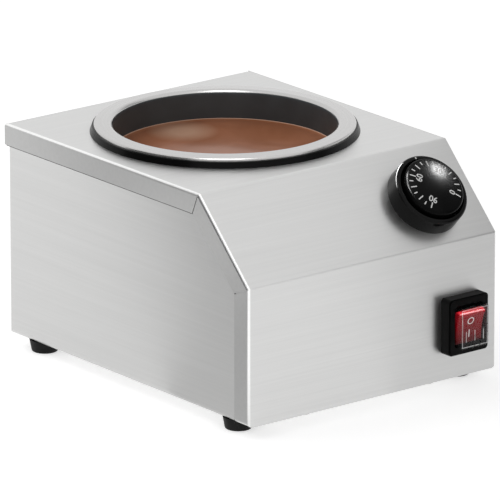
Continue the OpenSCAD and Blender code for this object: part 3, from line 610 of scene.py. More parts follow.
@dataclass(frozen=True)
class DeepRed(Moulded):
    """Red see-through plastic with painted shade towards its lower end and painted light towards its top."""

    name: str = "rocker_red"
    colour: Colour = (0.24, 0.004, 0.009)
    roughness: float = 0.25
    skin: float = 0.02
    gloss: float = 0.12
    bottom: float = 0.0
    top: float = 1.0
    # Painted shade at the paddle's bottom and painted light at its top
    bottom_share: float = 0.22
    top_share: float = 1.15

    def tint(self, recipe: Recipe, cloud: Socket) -> Socket:
        """Make the colour with its faint clouds and its painted shade, which darkens it towards the bottom.

        Args:
            recipe: The material's nodes.
            cloud: The clouds' noise.

        Returns:
            The colour.
        """
        # Painted shade lower down and painted light higher up
        height = recipe.axis(recipe.where, "Z")
        share = recipe.ranged(height, (self.bottom, self.top), self.bottom_share, self.top_share)
        return recipe.times(super().tint(recipe, cloud), share)


@dataclass(frozen=True)
class Clear:
    """Clear soft plastic, or a half see-through whitish one that paints highlights."""

    name: str
    colour: Colour = (0.93, 0.93, 0.93)
    roughness: float = 0.06
    index: float = 1.2
    through: float = 1.0
    cloud_scale: float = 300.0
    dark_share: float = 0.96
    roughness_shares: Limits = (0.7, 1.4)

    def material(self) -> Finish:
        """Build the finish.

        Returns:
            The new material.
        """
        recipe = Recipe(self.name)
        cloud = recipe.noise(recipe.where, self.cloud_scale)
        recipe.set(Transmission_Weight=self.through, IOR=self.index,
                   Base_Color=recipe.tinted(cloud, scaled(self.colour, self.dark_share), self.colour),
                   Roughness=recipe.varied(cloud, self.roughness, *self.roughness_shares))
        return recipe.material


@dataclass(frozen=True)
class MoltenChocolate:
    """Molten milk chocolate with slow swirls, a pale patch that is a painted reflection, and a painted highlight
    along its edge at the pan.
    """

    name: str
    dark: Colour = (0.33, 0.124, 0.058)
    light: Colour = (0.43, 0.166, 0.082)
    # The pale patch is a painted reflection
    pale: Colour = (0.6, 0.37, 0.25)
    pale_at: tuple[float, float] = (0.006, 0.077)
    pale_r: float = 24.0 * MM
    pale_fades: Limits = (0.3, 1.0)
    pale_share: float = 0.8
    # Painted highlight along the chocolate's edge at the pan
    film: Colour = (0.85, 0.55, 0.4)
    film_h: float = 0.4 * MM
    roughness: float = 0.2
    roughness_shares: Limits = (0.8, 1.2)
    gloss: float = 0.2
    swirl_scale: float = 22.0
    swirl_bend: float = 1.5
    swirl_lines: float = 0.06
    swirl_depth: float = 1.0 * MM

    def material(self, level: float) -> Finish:
        """Build the finish.

        Args:
            level: The height of the chocolate's top, under which the painted edge highlight runs.

        Returns:
            The new material.
        """
        recipe = Recipe(self.name)
        swirl = recipe.noise(recipe.where, self.swirl_scale, bend=self.swirl_bend)
        move = [-place / self.pale_r for place in self.pale_at]
        away = recipe.reach(recipe.mapped((*move, 0), (1 / self.pale_r, 1 / self.pale_r, 0)))
        height = recipe.axis(recipe.where, "Z")
        tint = recipe.tinted(swirl, self.dark, self.light)
        # Mix in the painted reflection patch and the painted highlight along the edge
        for colour, share in (
                (self.pale, recipe.ranged(away, self.pale_fades, self.pale_share, 0.0)),
                (self.film, recipe.ranged(height, (level - self.film_h, level), 0.0, 1.0))):
            tint = recipe.mixed(share, tint, (*colour, 1))
        recipe.set(Specular_IOR_Level=self.gloss, Base_Color=tint,
                   Roughness=recipe.varied(swirl, self.roughness, *self.roughness_shares))
        recipe.bump(swirl, self.swirl_lines, self.swirl_depth)
        return recipe.material


@dataclass(frozen=True)
class CoatedPan:
    """Satin steel rim over an inside that is painted dark and not metal, a painted reflection of dark surroundings
    in the steel.
    """

    name: str
    steel: Steel
    coat: Colour = (0.038, 0.046, 0.05)
    coat_tone: float = 0.15
    coat_scale: float = 60.0
    coat_roughness: float = 0.42
    inner_r: float = 72.1 * MM
    lip_drop: float = 1.6 * MM

    def material(self, centre: Vector, rim_top: float) -> Finish:
        """Build the finish.

        Args:
            centre: A point on the pan's axis.
            rim_top: The height of the rim.

        Returns:
            The new material.
        """
        recipe = Recipe(self.name)
        steel = self.steel
        place = recipe.spun(centre, 1.0)
        # The inside is painted dark, a painted reflection in its steel wall
        inside = recipe.math("LESS_THAN", recipe.axis(place, "X"), self.inner_r)
        below = recipe.math("LESS_THAN", recipe.axis(place, "Y"), rim_top - self.lip_drop)
        painted_wall_mask = recipe.math("MULTIPLY", inside, below)
        fine = recipe.noise(recipe.spun(centre, steel.fine))
        bright = recipe.clouded(fine, steel.colour, steel.tone)
        dark = recipe.clouded(recipe.noise(recipe.where, self.coat_scale), self.coat, self.coat_tone)
        recipe.set(Base_Color=recipe.mixed(painted_wall_mask, bright, dark),
                   Roughness=recipe.mixed(painted_wall_mask, steel.roughness, self.coat_roughness, Mix.NUMBERS),
                   Metallic=recipe.math("SUBTRACT", 1.0, painted_wall_mask))
        recipe.bump(fine, steel.lines, steel.line_depth)
        return recipe.material


@dataclass(frozen=True)
class Lamp:
    """Soft lamp, by its direction from the object and what it shines on."""

    name: str
    way: Place
    distance: float
    side: float
    radiance: float
    pieces: tuple[str, ...] = ()
    tall: float = 1.0
    shine: Shine = Shine.GLOSS

    def hang(self, target: Vector) -> None:
        """Hang the lamp.

        Args:
            target: The point that it looks at.
        """
        data = bpy.data.lights.new(self.name, "AREA")
        data.shape = "RECTANGLE"
        data.size, data.size_y = self.side, self.side * self.tall
        data.energy = self.radiance * math.pi * data.size * data.size_y
        lamp = bpy.data.objects.new(self.name, data)
        bpy.context.collection.objects.link(lamp)
        way = Vector(self.way).normalized()
        lamp.location = target + way * self.distance
        lamp.rotation_euler = (-way).to_track_quat("-Z", "Y").to_euler()
        lamp.visible_camera = False
        lamp.visible_diffuse = self.shine is not Shine.GLOSS
        lamp.visible_glossy = self.shine is not Shine.MATT
        if self.pieces:
            lit = bpy.data.collections.new(f"{self.name}_shines_on")
            for name in self.pieces:
                lit.objects.link(frame["nodes"].get(name) or bpy.data.objects[name])
            lamp.light_linking.receiver_collection = lit


@dataclass(frozen=True)
class Card:
    """Card that only gloss sees: a dark one shades what the steel mirrors, a bright one lights an edge."""

    name: str
    centre: Place
    across: Place
    along: Place
    shade: float

    def stand(self) -> None:
        """Stand the card up by the vectors of its two sides."""
        card = Bench.start(self.name, bpy.ops.mesh.primitive_plane_add, size=1)
        across, along = Vector(self.across), Vector(self.along)
        span = Matrix((across, along, across.cross(along))).transposed().to_4x4()
        Bench.place(card, Matrix.Translation(self.centre) @ span)
        recipe = Recipe(self.name)
        recipe.set(Base_Color=(0, 0, 0, 1), Specular_IOR_Level=0.0, Emission_Color=(1, 1, 1, 1),
                   Emission_Strength=self.shade)
        card.data.materials.append(recipe.material)
        card.visible_camera = card.visible_diffuse = card.visible_shadow = card.visible_transmission = False


CARDS = (
    Card("side_card", (-0.41, 0.08, 0.25), (0, 0.5, 0), (0, 0, 0.5), 0.15),
    Card("side_floor_card", (-0.255, 0.07, 0.002), (0, 0.17, 0), (-0.31, 0.39, 0), 0.78),
    Card("front_card", (0.58, -0.52, 0.2), (0.5, 0, 0), (0, 0, 0.4), 0.3),
    Card("front_floor_card", (0.24, -0.32, 0.002), (0.14, 0, 0), (0.31, -0.39, 0), 0.85),
    Card("slope_card", (0.76, -0.25, 0.5), (0.74, 0, 0), (0, 1, 0), 0.5),
    Card("ceiling_card", (-0.15, -0.15, 0.9), (0.3, 0, 0), (0, 0.3, 0), 4.0),
)

LAMPS = (
    Lamp("key_lamp", (-0.45, 0.55, 0.7), 2.2, 2.2, 1.05, shine=Shine.MATT),
    Lamp("edge_lamp", (-0.76, -0.62, 0.12), 2.5, 0.5, 10.0, shine=Shine.MATT),
    Lamp("dial_lamp", (0.678, -0.283, 0.678), 0.502, 0.05, 200.0, ("dial_knob_domed",)),
    Lamp("knob_edge_lamp", (-0.15, -0.14, 0.97), 1.5, 1.0, 120.0, ("dial_knob_domed",)),
    Lamp("bezel_lamp", (-0.3, 0.76, 0.56), 2.0, 3.0, 80.0, ("dial_bezel_cup",), 0.25),
    Lamp("rim_lamp", (-0.42, -0.53, 0.74), 2.2, 1.2, 3.0, ("lift_out_pan",)),
    Lamp("rocker_lamp", (0.594, -0.295, 0.749), 1.2, 0.3, 130.0, ("switch_rocker", "rocker_paddle"),
         shine=Shine.ALL),
    Lamp("brim_lamp", (0.335, 0.474, 0.814), 0.7, 0.3, 5.0, ("molten_chocolate",)),
)


@dataclass
class Studio:
    """Floor, world, lamps, cards and camera."""

    azimuth: float = -38.4
    elevation: float = 17.15
    distance: float = 5.0
    target: Place = (0.0004, 0.00025, 0.0744)
    sensor: float = 36.0
    lens: float = 566.6
    floor_side: float = 40.0
    floor_colour: Colour = (0.8, 0.8, 0.8)
    floor_lift: float = 0.55
    world_light: float = 0.5
    lamps: tuple[Lamp, ...] = LAMPS
    cards: tuple[Card, ...] = CARDS

    def seen(self, graph: Graph) -> Socket:
        """Tell rays that show a surface from rays that light it.

        Args:
            graph: The nodes to add to.

        Returns:
            A socket that is 1 for rays from the camera, from gloss and through clear pieces.
        """
        path = graph.tree.nodes.new("ShaderNodeLightPath")
        value = path.outputs["Is Camera Ray"]
        for name in ("Is Glossy Ray", "Is Transmission Ray"):
            value = graph.math("MAXIMUM", value, path.outputs[name])
        return value

    def floor(self) -> None:
        """Lay a pale floor that keeps the object's shadow."""
        floor = Bench.start("studio_floor", bpy.ops.mesh.primitive_plane_add, size=self.floor_side)
        material = bpy.data.materials.new("pale_floor")
        material.use_nodes = True
        graph = Graph(material.node_tree)
        nodes = graph.tree.nodes
        nodes.remove(nodes["Principled BSDF"])
        diffuse = graph.node("BsdfDiffuse", "BSDF", {"Color": (*self.floor_colour, 1)})
        lift = graph.math("MULTIPLY", self.seen(graph), self.floor_lift)
        glow = graph.node("Emission", "Emission", {"Strength": lift})
        both = graph.node("AddShader", "Shader", {0: diffuse, 1: glow})
        graph.feed(nodes["Material Output"].inputs["Surface"], both)
        floor.data.materials.append(material)

    def world(self) -> None:
        """Surround the object with soft white light."""
        world = bpy.data.worlds.new("studio_world")
        bpy.context.scene.world = world
        world.use_nodes = True
        graph = Graph(world.node_tree)
        light = graph.tree.nodes["Background"]
        light.inputs["Color"].default_value = (1, 1, 1, 1)
        strength = graph.ranged(self.seen(graph), (0.0, 1.0), self.world_light, 1.0)
        graph.feed(light.inputs["Strength"], strength)

    def camera(self) -> None:
        """Set up the camera at the viewing angle."""
        data = bpy.data.cameras.new("studio_camera")
        data.sensor_width = self.sensor
        data.lens = self.lens
        data.clip_end = self.floor_side
        camera = bpy.data.objects.new("studio_camera", data)
        bpy.context.collection.objects.link(camera)
        turn, rise = math.radians(self.azimuth), math.radians(self.elevation)
        level = math.cos(rise)
        back = Vector((math.sin(turn) * level, -math.cos(turn) * level, math.sin(rise)))
        camera.location = Vector(self.target) + back * self.distance
        camera.rotation_euler = (-back).to_track_quat("-Z", "Y").to_euler()
        bpy.context.scene.camera = camera

    def build(self) -> None:
        """Build the whole studio."""
        bpy.context.scene.view_settings.view_transform = "Standard"
        self.camera()
        self.floor()
        self.world()
        for lamp in self.lamps:
            lamp.hang(Vector(self.target))
        for card in self.cards:
            card.stand()
        LOG.info("studio is set")


@dataclass
class CrossScrews:
    """Pan-head screws with a cross recess."""

    shank_r: float = 2.0 * MM
    head_r: float = 3.8 * MM
    head_h: float = 2.2 * MM
    dome: float = 1.4 * MM
    dome_steps: int = 4
    arm_w: float = 0.9 * MM
    arm_l: float = 4.2 * MM
    arm_taper: float = 0.6
    recess: float = 1.3 * MM
    point: float = 0.6 * MM
    sides: int = 32
    sharp: float = 35.0

    def model(self, length: float) -> Piece:
        """Model one screw with its head under z = 0 and its shank up along z.

        Args:
            length: The shank's length.

        Returns:
            The new piece.
        """
        screw = Bench.rod("cross_screw", self.sides, self.head_r, -self.head_h, 0)
        low = TINY - self.head_h
        Bench.pick_edges(screw, lambda a, b: max(a.z, b.z) < low)
        bpy.ops.mesh.bevel(offset=self.dome, segments=self.dome_steps)
        Bench.pick_faces(screw, lambda centre, normal: normal.z > FACING and centre.z > -TINY)
        bpy.ops.mesh.inset(thickness=self.head_r - self.shank_r)
        Bench.extrude(length)
        bpy.ops.mesh.bevel(offset=self.point, segments=1)
        for turn in (0, math.pi / 2):
            Bench.cut(screw, self.arm(turn))
        Bench.smooth(screw, self.sharp)
        return screw

    def arm(self, turn: float) -> Piece:
        """Model a tapered cutter for one arm of the cross.

        Args:
            turn: How far it is turned about z.

        Returns:
            The cutter.
        """
        cutter = Bench.block("cross_arm", (self.arm_l, self.arm_w, 2 * self.recess))
        Bench.pick_faces(cutter, lambda centre, normal: normal.z > FACING)
        Bench.widen(self.arm_taper, self.arm_taper, (0, 0, self.recess))
        Bench.place(cutter, Matrix.Translation((0, 0, -self.head_h)) @ Matrix.Rotation(turn, 4, "Z"))
        return cutter

    def cover(self, material: Finish) -> None:
        """Set the two screws of the cover's rear flange.

        Args:
            material: Their finish.
        """
        low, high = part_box("cover_screws")
        x, y, z = high.x - self.head_r, high.y - self.head_h, (low.z + high.z) / 2
        turn = Matrix.Rotation(math.pi / 2, 4, "X")
        seats = [Matrix.Translation((side * x, y, z)) @ turn for side in (-1, 1)]
        self.build("cover_screws", seats, y - low.y, material)

    def base(self, material: Finish) -> None:
        """Set the four screws under the base plate.

        Args:
            material: Their finish.
        """
        low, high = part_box("base_screws")
        x, z = high.x - self.head_r, low.z + self.head_h
        seats = [Matrix.Translation((side * x, y, z)) for side in (-1, 1)
                 for y in (low.y + self.head_r, high.y - self.head_r)]
        self.build("base_screws", seats, high.z - z, material)

    def build(self, node: str, seats: list[Matrix], length: float, material: Finish) -> None:
        """Set screws in place of a node.

        Args:
            node: The node that they stand for.
            seats: Where each screw's head sits.
            length: The shank's length.
            material: Their finish.
        """
        first = self.model(length)
        copies = [Bench.copy(first, f"{node}_{i}") for i in range(len(seats))]
        bpy.data.objects.remove(first)
        for piece, seat in zip(copies, seats):
            Bench.place(piece, seat)
        screws = Bench.join(copies, f"{node}_cross")
        Bench.deliver(screws, Body.HOUSING, "fastener_steel", material, (node,))


@dataclass
class Seams:
    """Dark strips, a painted shadow in the gaps where the cover's flanges lie on the walls."""

    flange: float = 14.0 * MM
    width: float = 0.7 * MM
    proud: float = 0.4 * MM
    slope: float = 50.0 * MM
    round: float = 0.12 * MM
    round_steps: int = 2

    def line(self) -> list[Vector]:
        """Find the flanges' inner edge on the left wall.

        Returns:
            Its corners, from the rear over the crest and the brow to the bottom.
        """
        low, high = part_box("outer_cover")
        wall_low, wall_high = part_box("body_wrap")
        inset = self.flange + self.width / 2
        run = self.slope - inset * (2 - math.sqrt(2))
        x, y, z = wall_low.x - self.proud / 2, low.y + inset, high.z - inset
        return [Vector((x, *place)) for place in ((wall_high.y, z), (y + run, z), (y, z - run), (y, low.z))]

    def bar(self, name: str, start: Vector, end: Vector) -> Piece:
        """Model one strip between two points of the left wall.

        Args:
            name: The strip's name.
            start: Where it starts.
            end: Where it ends.

        Returns:
            The new piece.
        """
        way = end - start
        strip = Bench.block(name, (self.proud, self.width, way.length))
        Bench.pick_edges(strip, lambda a, b: max(a.x, b.x) < 0)
        bpy.ops.mesh.bevel(offset=self.round, segments=self.round_steps)
        turn = Matrix.Rotation(-math.atan2(way.y, way.z), 4, "X")
        Bench.place(strip, Matrix.Translation((start + end) / 2) @ turn)
        return strip

    def build(self, rubber: Finish) -> None:
        """Lay the strips along both side walls.

        Args:
            rubber: Their black rubber finish, which paints the shadow.
        """
        points = self.line()
        left = [self.bar(f"seam_{i}", *pair) for i, pair in enumerate(zip(points, points[1:]))]
        right = [Bench.copy(strip, f"{strip.name}_right") for strip in left]
        for strip in right:
            Bench.place(strip, Matrix.Scale(-1, 4, (1, 0, 0)))
            Bench.close(strip)
        # The strips paint the shadow in the gap under the flanges
        Bench.deliver(Bench.join(left + right, "flange_gap_shadows"), Body.HOUSING, "foot_rubber", rubber)


def joint_named(name: str) -> dict[str, object]:
    """Return a joint of the frame by its name."""
    return next(joint for joint in frame["joints"] if joint["name"] == name)


@dataclass
class Dial:
    """Cup-shaped bezel with its mark, and domed knob with its printed scale."""

    knob_r: float = 21.6 * MM
    face_r: float = 20.4 * MM
    foot_h: float = 3.7 * MM
    edge_h: float = 15.6 * MM
    rise: float = 2.0 * MM
    rings: int = 12
    edge_round: float = 1.2 * MM
    edge_steps: int = 5
    wall: float = 2.0 * MM
    boss_r: float = 7.0 * MM
    bore_r: float = 3.15 * MM
    bore_top: float = 14.2 * MM
    bezel_r: float = 25.5 * MM
    bezel_top_r: float = 25.1 * MM
    bezel_h: float = 12.0 * MM
    bezel_in_r: float = 22.4 * MM
    bezel_floor: float = 1.2 * MM
    bezel_round: float = 1.6 * MM
    bezel_steps: int = 8
    bush_r: float = 5.2 * MM
    bush_sides: int = 48
    sides: int = 128
    sharp: float = 40.0
    face_h: float = 19.0 * MM
    tick_w: float = 0.75 * MM
    tick_out_r: float = 18.7 * MM
    tick_long: float = 4.3 * MM
    tick_short: float = 2.6 * MM
    corner_share: float = 0.3
    corner_steps: int = 3
    digit_h: float = 4.3 * MM
    digit_share: float = 0.7
    digit_bold: float = 0.02
    digit_steps: int = 4
    digit_r: float = 11.7 * MM
    digit_every: int = 30
    print_t: float = 0.08 * MM
    first_angle: float = -39.0
    degrees_each: float = 3.0
    last: int = 90
    step: int = 5
    mark_r: float = 23.3 * MM
    mark_l: float = 1.3 * MM
    mark_w: float = 0.9 * MM

    def __post_init__(self) -> None:
        """Find the panel's frame from the dial's joint."""
        joint = joint_named("dial_turn")
        axis = Vector(joint["axis"])
        tilt = math.atan2(-axis.y, axis.z)
        self.panel = Matrix.Translation(joint["pos_m"]) @ Matrix.Rotation(tilt, 4, "X")

    def angle(self, value: int) -> float:
        """Return the angle of a value on the scale, from the panel's right."""
        return math.radians(self.first_angle + self.degrees_each * value)

    def drum(self, name: str, radius: float, top_r: float, low: float, high: float) -> Piece:
        """Model a tapered drum.

        Args:
            name: The drum's name.
            radius: Its radius at the bottom.
            top_r: Its radius at the top.
            low: The height of its bottom over the panel.
            high: The height of its top.

        Returns:
            The new piece in the panel's frame, open in edit mode with its top face selected.
        """
        drum = Bench.rod(name, self.sides, radius, low, high)
        Bench.pick_faces(drum, lambda centre, normal: normal.z > FACING)
        Bench.widen(top_r / radius, top_r / radius, (0, 0, high))
        return drum

    def on_edge(self, point: Vector) -> bool:
        """Say whether a point of the knob lies on the edge of its face."""
        return abs(point.z - self.edge_h) < TINY and abs(point.xy.length - self.face_r) < NEAR

    def knob(self, black: Finish) -> Piece:
        """Model the knob as a drum with a domed face, a rounded edge and a hollow round its boss.

        Args:
            black: The knob's finish.

        Returns:
            The new piece.
        """
        knob = self.drum("dial_knob_domed", self.knob_r, self.face_r, self.foot_h, self.edge_h)
        count = self.rings + 1
        for i in range(count, 1, -1):
            bpy.ops.mesh.inset(thickness=self.face_r / count)
            lift = self.rise * ((i / count) ** 2 - ((i - 1) / count) ** 2)
            bpy.ops.transform.translate(value=(0, 0, lift))
        bpy.ops.mesh.poke(offset=self.rise / count ** 2)
        Bench.pick_faces(knob, lambda centre, normal: normal.z < -FACING)
        hollow_r = self.face_r - self.wall
        for step in (self.knob_r - hollow_r, hollow_r - self.boss_r, self.boss_r - self.bore_r):
            bpy.ops.mesh.inset(thickness=step)
        Bench.extrude(self.bore_top - self.foot_h)
        Bench.pick_faces(knob, lambda centre, normal: normal.z < -FACING and centre.z < self.foot_h + TINY
                         and self.boss_r < centre.xy.length < hollow_r)
        Bench.extrude(self.edge_h - self.foot_h - self.wall)
        Bench.pick_edges(knob, lambda a, b: self.on_edge(a) and self.on_edge(b))
        bpy.ops.mesh.bevel(offset=self.edge_round, segments=self.edge_steps)
        Bench.close(knob)
        Bench.smooth(knob, self.sharp)
        Bench.place(knob, self.panel)
        Bench.deliver(knob, Body.DIAL, "dial_plastic", black, ("dial_knob",))
        return knob

    def bezel(self, satin: Finish) -> Piece:
        """Model the bezel as a deep cup with a rounded brim and a bore for the thermostat's bush.

        Args:
            satin: The bezel's finish.

        Returns:
            The new piece.
        """
        bezel = self.drum("dial_bezel_cup", self.bezel_r, self.bezel_top_r, 0, self.bezel_h)
        bpy.ops.mesh.inset(thickness=self.bezel_top_r - self.bezel_in_r)
        Bench.extrude(self.bezel_floor - self.bezel_h)
        brim = self.bezel_h - TINY
        Bench.pick_edges(bezel, lambda a, b: min(a.z, b.z) > brim
                         and min(a.xy.length, b.xy.length) > self.bezel_top_r - NEAR)
        bpy.ops.mesh.bevel(offset=self.bezel_round, segments=self.bezel_steps)
        reach = 2 * self.bezel_floor
        Bench.cut(bezel, Bench.rod("bush_bore", self.bush_sides, self.bush_r, -reach, reach))
        Bench.smooth(bezel, self.sharp)
        Bench.place(bezel, self.panel)
        Bench.deliver(bezel, Body.HOUSING, "dial_plastic", satin, ("dial_bezel",))
        return bezel

    def bar(self, name: str, inner_r: float, outer_r: float, width: float, angle: float,
            height: float) -> Piece:
        """Model a flat radial bar with rounded ends.

        Args:
            name: The bar's name.
            inner_r: The radius of its inner end.
            outer_r: The radius of its outer end.
            width: Its width.
            angle: Its direction on the panel.
            height: Its height over the panel.

        Returns:
            The new piece, in the panel's frame.
        """
        middle = ((inner_r + outer_r) / 2, 0, height)
        bar = Bench.start(name, bpy.ops.mesh.primitive_plane_add, size=1)
        Bench.place(bar, Matrix.Translation(middle) @ Matrix.Diagonal((outer_r - inner_r, width, 1, 1)))
        Bench.edit(bar, Pick.POINTS, True)
        bpy.ops.mesh.bevel(offset=width * self.corner_share, segments=self.corner_steps, affect="VERTICES")
        bpy.ops.mesh.select_all(action="SELECT")
        bpy.ops.mesh.bisect(plane_co=middle, plane_no=(1, 0, 0))
        Bench.place(bar, Matrix.Rotation(angle, 4, "Z"))
        return bar

    def number(self, value: int) -> Piece:
        """Model a number that stands with its top outwards.

        Args:
            value: The number.

        Returns:
            The new piece, in the panel's frame.
        """
        Bench.clear()
        bpy.ops.object.text_add()
        text = bpy.context.active_object.data
        text.body = str(value)
        text.size = self.digit_h / self.digit_share
        text.align_x = text.align_y = "CENTER"
        text.offset = self.digit_bold * self.digit_h
        text.resolution_u = self.digit_steps
        bpy.ops.object.convert(target="MESH")
        digits = Bench.named(f"number_{value}")
        turn = Matrix.Rotation(self.angle(value) - math.pi / 2, 4, "Z")
        Bench.place(digits, turn @ Matrix.Translation((0, self.digit_r, self.face_h)))
        return digits

    def build(self, black: Finish, satin: Finish, white: Finish) -> None:
        """Build the bezel and the knob and print the scale and the mark.

        Args:
            black: The knob's finish.
            satin: The bezel's finish.
            white: The prints' finish.
        """
        bezel = self.bezel(satin)
        knob = self.knob(black)
        marks = []
        for value in range(0, self.last + 1, self.step):
            length = self.tick_short if value % (2 * self.step) else self.tick_long
            marks.append(self.bar(f"tick_{value}", self.tick_out_r - length, self.tick_out_r, self.tick_w,
                                  self.angle(value), self.face_h))
        marks.extend(self.number(value) for value in range(0, self.last + 1, self.digit_every))
        scale = Bench.join(marks, "dial_scale")
        half = self.mark_l / 2
        mark = self.bar("bezel_mark", self.mark_r - half, self.mark_r + half, self.mark_w, math.pi / 2,
                        self.bezel_h)
        for piece, carrier, body in ((scale, knob, Body.DIAL), (mark, bezel, Body.HOUSING)):
            Bench.place(piece, self.panel)
            Bench.print_on(piece, carrier, self.print_t)
            Bench.deliver(piece, body, "dial_plastic", white)


@dataclass
class Switch:
    """Clear ribbed cap, and the rocker's paddle with its printed signs."""

    cap_w: float = 23.0 * MM
    cap_l: float = 27.0 * MM
    cap_t: float = 0.8 * MM
    corner_r: float = 2.0 * MM
    corner_steps: int = 6
    edge_r: float = 1.1 * MM
    edge_steps: int = 4
    flange: float = 1.6 * MM
    cap_sharp: float = 40.0
    rib_h: float = 0.3 * MM
    rib_w: float = 0.5 * MM
    rib_l: float = 7.0 * MM
    rib_root: float = 0.03 * MM
    rib_round: float = 0.24 * MM
    rib_count: int = 3
    rib_step: float = 7.0 * MM
    lip_gap: float = 0.03 * MM
    paddle_w: float = 20.4 * MM
    paddle_half: float = 10.8 * MM
    paddle_low: float = 3.1 * MM
    paddle_dip: float = 5.8 * MM
    paddle_rise: float = 1.6 * MM
    paddle_round: float = 0.5 * MM
    paddle_nose: float = 2.4 * MM
    paddle_cuts: int = 13
    paddle_sharp: float = 20.0
    rest_tilt: float = 11.0
    round_steps: int = 2
    sign_up: float = 2.4 * MM
    sign_out: float = 9.0 * MM
    bar_down: float = 5.6 * MM
    bar_out: float = 7.0 * MM
    ring_r: float = 2.5 * MM
    ring_sides: int = 32
    stroke: float = 0.55 * MM
    stroke_round: float = 0.165 * MM
    print_t: float = 0.08 * MM

    def __post_init__(self) -> None:
        """Find the cap's reach and the panel's frame from the nodes and the rocker's joint."""
        low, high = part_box("switch_cap")
        self.reach = high.y - low.y
        face = Matrix.Rotation(math.pi / 2, 4, "X")
        centre = (low + high) / 2
        self.root = Matrix.Translation((centre.x, high.y, centre.z)) @ face
        self.pivot = Matrix.Translation(joint_named("rocker_tilt")["pos_m"]) @ face

    def cap(self, clear: Finish, rib_highlight: Finish) -> None:
        """Model the clear cap as a rounded shell with a flange, and ribs in a whitish finish that paints their
        highlights.

        Args:
            clear: The shell's finish.
            rib_highlight: The ribs' whitish finish, which paints their highlights.
        """
        height = self.reach - self.rib_h
        cap = Bench.block("switch_cap_clear", (self.cap_w, self.cap_l, height), (0, 0, height / 2))
        Bench.pick_faces(cap, lambda centre, normal: normal.z < -FACING)
        bpy.ops.mesh.delete(type="FACE")
        Bench.pick_edges(cap, lambda a, b: abs(a.z - b.z) > height / 2)
        bpy.ops.mesh.bevel(offset=self.corner_r, segments=self.corner_steps)
        Bench.pick_edges(cap, lambda a, b: min(a.z, b.z) > height - TINY)
        bpy.ops.mesh.bevel(offset=self.edge_r, segments=self.edge_steps)
        Bench.pick_edges(cap, lambda a, b: max(a.z, b.z) < TINY)
        bpy.ops.mesh.extrude_edges_move()
        Bench.widen(1 + 2 * self.flange / self.cap_w, 1 + 2 * self.flange / self.cap_l, (0, 0, 0))
        Bench.close(cap)
        Bench.apply(cap, "SOLIDIFY", thickness=self.cap_t, offset=-1)
        ribs = Bench.join(self.ribs(height), "switch_cap_ribs")
        for piece in (cap, ribs):
            Bench.smooth(piece, self.cap_sharp)
            Bench.place(piece, self.root)
            piece.visible_shadow = False
        Bench.deliver(cap, Body.HOUSING, "cap_clear", clear, ("switch_cap",))
        Bench.deliver(ribs, Body.HOUSING, "cap_clear", rib_highlight)

    def ribs(self, height: float) -> list[Piece]:
        """Model the cap's grip ribs and the lips along its four edges.

        Args:
            height: The height of the cap's face.

        Returns:
            The new pieces.
        """
        edge_x, edge_y = self.cap_w / 2 - self.edge_r, self.cap_l / 2 - self.edge_r
        lip_x, lip_y = edge_x - self.rib_w / 2, edge_y - self.rib_w / 2
        inner = 2 * (edge_x - self.rib_w - self.lip_gap)
        first = (1 - self.rib_count) / 2
        ribs = [self.rib((first + i) * self.rib_step, self.rib_l - edge_y, self.rib_w, self.rib_l, height)
                for i in range(self.rib_count)]
        for side in (-1, 1):
            ribs.append(self.rib(side * lip_x, 0, self.rib_w, 2 * edge_y, height))
            ribs.append(self.rib(0, side * lip_y, inner, self.rib_w, height))
        return ribs

    def rib(self, x: float, y: float, width: float, length: float, height: float) -> Piece:
        """Model one rib on the cap's face with a rounded crest.

        Args:
            x: Its centre across the cap.
            y: Its centre along the cap.
            width: Its size across the cap.
            length: Its size along the cap.
            height: The height of the cap's face.

        Returns:
            The new piece.
        """
        tall = self.rib_h + self.rib_root
        rib = Bench.block("cap_rib", (width, length, tall), (x, y, height - self.rib_root + tall / 2))
        Bench.pick_edges(rib, lambda a, b: min(a.z, b.z) > height)
        bpy.ops.mesh.bevel(offset=self.rib_round, segments=self.round_steps)
        return rib

    def paddle(self, red: Finish) -> Piece:
        """Model the rocker's paddle as a block that is cut across, curved to a hollow and rounded off.

        Args:
            red: The paddle's finish.

        Returns:
            The new piece.
        """
        half, low, dip = self.paddle_half, self.paddle_low, self.paddle_dip
        paddle = Bench.block("rocker_paddle", (self.paddle_w, 2 * half, dip - low), (0, 0, (dip + low) / 2))
        Bench.edit(paddle, Pick.FACES)
        for i in range(self.paddle_cuts):
            bpy.ops.mesh.select_all(action="SELECT")
            y = half * (2 * (i + 1) / (self.paddle_cuts + 1) - 1)
            bpy.ops.mesh.bisect(plane_co=(0, y, 0), plane_no=(0, 1, 0))
        Bench.clear()
        for vertex in paddle.data.vertices:
            if vertex.co.z > low + TINY:
                vertex.co.z += self.paddle_rise * (vertex.co.y / half) ** 2
        Bench.pick_edges(paddle, lambda a, b: min(a.z, b.z) > dip - TINY
                         and min(abs(a.y), abs(b.y)) > half - TINY)
        bpy.ops.mesh.bevel(offset=self.paddle_nose, segments=self.round_steps, clamp_overlap=True)
        side = self.paddle_w / 2 - TINY
        Bench.pick_edges(paddle, lambda a, b: min(abs(a.x), abs(b.x)) > side and min(a.z, b.z) > low + TINY
                         and a.x * b.x > 0 and abs(a.y - b.y) > TINY)
        bpy.ops.mesh.bevel(offset=self.paddle_round, segments=self.round_steps)
        Bench.close(paddle, NEAR)
        Bench.smooth(paddle, self.paddle_sharp)
        Bench.place(paddle, self.pivot @ Matrix.Rotation(math.radians(self.rest_tilt), 4, "X"))
        Bench.deliver(paddle, Body.ROCKER, "rocker_red", red)
        return paddle

